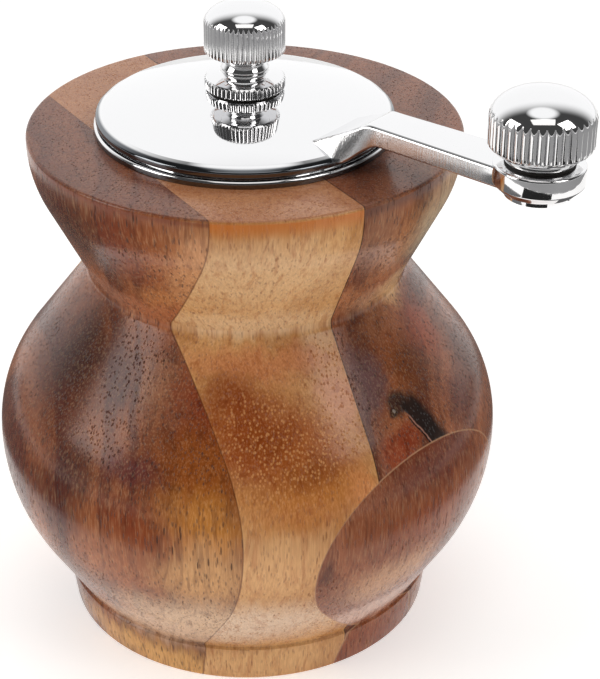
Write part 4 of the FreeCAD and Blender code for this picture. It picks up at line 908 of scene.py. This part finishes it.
def moulded(name, tone, shade, rough, subsurface=0.0):
    """A moulded plastic with the fine spark texture of its tool."""
    material, tree, shader = finish(name, IOR=1.48, Subsurface_Weight=subsurface)
    place = millimetres(tree)
    # a spark texture's pits are about a twentieth of a millimetre, and drawn coarser to show
    spark = stretched_noise(tree, place, 0.22, 0.22, 2.0)
    cloud = stretched_noise(tree, place, 6.0, 6.0, 2.0)
    share = add(tree, "MapRange", Value=cloud, From_Min=0.3, From_Max=0.7, To_Max=0.6)
    colour = add(tree, "Mix", LAY, 2, _0=share, _6=linear(tone), _7=linear(shade))
    sheen = add(tree, "MapRange", Value=spark, From_Min=0.3, From_Max=0.7,
                To_Min=rough * 0.8, To_Max=rough * 1.2)
    bump = add(tree, "Bump", Height=spark, Strength=0.25, Distance=0.04 * MM)
    dress(tree, shader, Base_Color=colour, Roughness=sheen, Normal=bump)
    return material


# zinc plate: a dull, slightly cloudy grey
zinc = worked_metal("zinc_plated_steel", "#b9bdc0", 0.38, "#8f9598", 0.04, 0.6, 0.6)
# drawn steel: brighter, with fine lines along the bar
bright = worked_metal("drawn_bright_steel", "#c3c5c8", 0.26, "#a3a6aa", 0.03)
# spring wire: dark under its oil
spring_wire = worked_metal("oiled_spring_wire", "#7c7f84", 0.3, "#5b5d61", 0.03, 0.3, 0.3)
# burr steel: the matt grey that hardening leaves
burr = worked_metal("hardened_burr_steel", "#85888c", 0.42, "#63656a", 0.05, 0.4, 0.4)
# brass: warm yellow, with turning lines round it
brass = worked_metal("turned_brass", "#d0a85a", 0.28, "#a9803c", 0.03, 3.0, 0.18)
# nylon: milky, as light goes a little way in; acetal and fibre: black, one silky and one dry
nylon = moulded("white_nylon", "#e6e2d6", "#d6d0bf", 0.42, 0.08)
acetal = moulded("black_acetal", "#1c1d1f", "#26272a", 0.45)
fibre_washer = moulded("black_fibre", "#16130f", "#231d17", 0.7)
kept = {"top_bridge": zinc, "lower_bridge": zinc, "bridge_screws": bright, "burr_screws": bright,
        "thrust_washer": bright, "drive_shaft": bright, "spring_top_washer": bright,
        "spring_bottom_washer": bright, "shaft_clips": spring_wire,
        "ring_burr": burr, "cone_burr": burr, "burr_nut": bright, "lower_bush": brass,
        "drive_bush": nylon, "burr_carrier": acetal, "knob_washer": fibre_washer,
        "friction_washer": fibre_washer, "knob_screw": knob_chrome}
for node_name, material in kept.items():
    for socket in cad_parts[node_name].material_slots:
        socket.material = material
print(len(kept), "mechanism pieces finished")

# %% [markdown]
# The spring is wound from round wire, with its end turns drawn close so that it bears flat on
# its washers. Its foot stands on the shaft's washer and its head bears under the bush, and it
# rides on neither body.

# %% Wind the spring
COIL_RADIUS, WIRE_RADIUS, COIL_FOOT, COIL_HEAD = 5.39, 0.59, 73.57, 87.53
COIL_TURNS, TURN_STEPS, WIRE_SIDES, END_FLATNESS = 6.5, 56, 14, 0.38


def coil_height(share):
    """Height of the wire's centre along the coil, which climbs less over its end turns."""
    rise = share - math.sin(2 * math.pi * share) / (2 * math.pi) * END_FLATNESS
    return COIL_FOOT + WIRE_RADIUS + (COIL_HEAD - COIL_FOOT - 2 * WIRE_RADIUS) * rise


def wire_section(share):
    """A ring of points round the wire, square to it."""
    turn = 2 * math.pi * COIL_TURNS * share
    out = Vector((math.cos(turn), math.sin(turn), 0.0))
    little = 0.001
    climb = (coil_height(min(share + little, 1.0))
             - coil_height(max(share - little, 0.0))) / (2 * little)
    ahead = Vector((-out.y, out.x, climb / (2 * math.pi * COIL_TURNS * COIL_RADIUS))).normalized()
    up = out.cross(ahead)
    centre = out * COIL_RADIUS + Vector((0.0, 0.0, coil_height(share)))
    angles = [2 * math.pi * i / WIRE_SIDES for i in range(WIRE_SIDES)]
    return [tuple(centre + WIRE_RADIUS * (math.cos(a) * out + math.sin(a) * up)) for a in angles]


steps = int(COIL_TURNS * TURN_STEPS)
coil = piece("wound_spring", lofted([wire_section(i / steps) for i in range(steps + 1)]),
             spring_wire, None, "spring", 60)
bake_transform(coil)
print("spring wound from", COIL_TURNS, "turns of wire")

# %% [markdown]
# The stage is a light table under soft studio light: a pale floor that glows a little, so that
# hardly a shadow is left. Bright metal only looks bright beside something darker, so the studio
# is white behind the mill and overhead, and dim in front of it. Two softboxes give the oiled
# wood its sheen, and a third, high in front, puts a clean window in the domed knobs. Cards lie
# on the floor round the mill to edge the upright metal faces: black in front, dark grey beside
# and behind, and a paler grey further out. They show only in reflections.

# %% Floor and studio
floor_material, floor_tree, floor_shader = finish(
    "pale_light_table", Base_Color=linear("#f4f3f1"), Emission_Color=linear("#ffffff"),
    Emission_Strength=0.47)
floor_grain = stretched_noise(floor_tree, millimetres(floor_tree), 1.5, 1.5, 2.0)
floor_sheen = add(floor_tree, "MapRange", Value=floor_grain, From_Min=0.3, From_Max=0.7,
                  To_Min=0.8, To_Max=0.9)
dress(floor_tree, floor_shader, Roughness=floor_sheen)


def matt_card(name, tone):
    """Dyed card, with the faint tooth of its fibres."""
    material, tree, shader = finish(name, Base_Color=linear(tone))
    tooth = stretched_noise(tree, millimetres(tree), 2.0, 2.0, 2.0)
    sheen = add(tree, "MapRange", Value=tooth, To_Min=0.8, To_Max=0.95)
    dress(tree, shader, Roughness=sheen)
    return material


black_card = matt_card("black_card", "#0c0c0d")
dark_grey_card = matt_card("dark_grey_card", "#6f6f70")
pale_grey_card = matt_card("pale_grey_card", "#a9a9aa")


def flat_sheet(name, corners, material):
    """A flat sheet of the stage from its corners in metres."""
    mesh = bpy.data.meshes.new(name)
    mesh.from_pydata(corners, [], [list(range(len(corners)))])
    mesh.materials.append(material)
    sheet = bpy.data.objects.new(name, mesh)
    bpy.context.scene.collection.objects.link(sheet)
    return sheet


# the azimuth that the mill is seen from, the floor's half width and how high the cards lie
FRONT, FLOOR_REACH, CARD_LIFT = math.radians(-50.0), 4, 2 * MM
flat_sheet("floor", [(x * FLOOR_REACH, y * FLOOR_REACH, 0)
                     for x, y in ((-1, -1), (1, -1), (1, 1), (-1, 1))], floor_material)


def flag(name, near, far, left, right, material):
    """A card that shows only in reflections: part of a ring, in metres and degrees off front."""
    turns = [math.radians(left + (right - left) * i / 12) + FRONT for i in range(13)]
    corners = [(near * math.cos(t), near * math.sin(t), CARD_LIFT) for t in turns]
    corners += [(far * math.cos(t), far * math.sin(t), CARD_LIFT) for t in reversed(turns)]
    card = flat_sheet(name, corners, material)
    card.visible_camera = card.visible_diffuse = card.visible_shadow = False


flag("black_front_card", 0.15, 0.285, -30, 30, black_card)
flag("grey_left_card", 0.085, 0.2, -180, -32, dark_grey_card)
flag("grey_right_card", 0.085, 0.2, 32, 180, dark_grey_card)
flag("pale_outer_card", 0.29, 0.9, -130, 130, pale_grey_card)

world = bpy.data.worlds.new("studio")
world.use_nodes = True
sky = world.node_tree
sky.nodes.clear()
direction = add(sky, "TexCoord", out="Generated")
behind = add(sky, "VectorMath", DOT, "Value", _0=direction,
             _1=(-math.cos(FRONT), -math.sin(FRONT), 0.0))
up = add(sky, "SeparateXYZ", None, "Z", _0=direction)
overhead = add(sky, "MapRange", Value=up, From_Min=0.92, From_Max=1.0, To_Max=0.75)
whiteness = add(sky, "Math", PLUS, _0=behind, _1=overhead)
glow = add(sky, "MapRange", SOFT_STEP, Value=whiteness,
           From_Min=0.1, From_Max=0.62, To_Min=0.06, To_Max=1.14)
backdrop = add(sky, "Background", Color=(1, 1, 1, 1), Strength=glow)
add(sky, "OutputWorld", Surface=backdrop)
bpy.context.scene.world = world

AIM = Vector((0.0, 0.0, 0.055))
WARM_WHITE = (1.0, 0.98, 0.96)


def softbox(name, azimuth, elevation, distance, width, height, radiance):
    """A rectangular soft light that looks at the mill from a direction in degrees."""
    a, e = math.radians(azimuth), math.radians(elevation)
    away = Vector((math.cos(a) * math.cos(e), math.sin(a) * math.cos(e), math.sin(e)))
    lamp = bpy.data.lights.new(name, "AREA")
    lamp.shape = "RECTANGLE"
    lamp.size, lamp.size_y = width, height
    lamp.energy = radiance * math.pi * width * height
    lamp.color = WARM_WHITE
    box_light = bpy.data.objects.new(name, lamp)
    box_light.location = AIM + away * distance
    box_light.rotation_mode = "QUATERNION"
    box_light.rotation_quaternion = (-away).to_track_quat("-Z", "Y")
    bpy.context.scene.collection.objects.link(box_light)


softbox("left_softbox", -125, 27, 0.75, 0.34, 0.48, 3.9)
softbox("right_softbox", 4, 40, 0.75, 0.28, 0.40, 3.4)
softbox("window_softbox", -50, 66, 0.9, 0.56, 0.32, 1.2)
print("three softboxes placed")

# %% [markdown]
# The camera stands a forearm's length away and looks down on the mill, so the lid reads as an
# ellipse and the belly hides the foot's sides a little.

# %% Camera
camera_data = bpy.data.cameras.new("camera")
# a longish lens, in millimetres, keeps the rim and the foot from looking stretched
camera_data.lens = 106.84
camera_data.sensor_width = 36.0
camera_data.clip_start = 10 * MM
camera = bpy.data.objects.new("camera", camera_data)
camera.location = Vector((212.82, -253.63, 243.61)) * MM
# which way it faces, then in radians how far it looks aside from that, down and rolled over
heading, aside, tilt, roll = math.radians(40.0), 0.0301, -0.5215, 0.0056
look = Vector((math.sin(aside) * math.cos(tilt), math.cos(aside) * math.cos(tilt), math.sin(tilt)))
side = Vector((math.cos(aside), -math.sin(aside), 0.0))
over = side.cross(look)
side_rolled = side * math.cos(roll) + over * math.sin(roll)
over_rolled = over * math.cos(roll) - side * math.sin(roll)
turn = Matrix.Rotation(heading, 3, "Z")
axes = Matrix((turn @ side_rolled, turn @ over_rolled, turn @ -look)).transposed()
camera.rotation_mode = "QUATERNION"
camera.rotation_quaternion = axes.to_quaternion()
bpy.context.scene.collection.objects.link(camera)
bpy.context.scene.camera = camera
bpy.context.scene.view_settings.view_transform = "Standard"
print("camera looks along", [round(v, 3) for v in turn @ look])
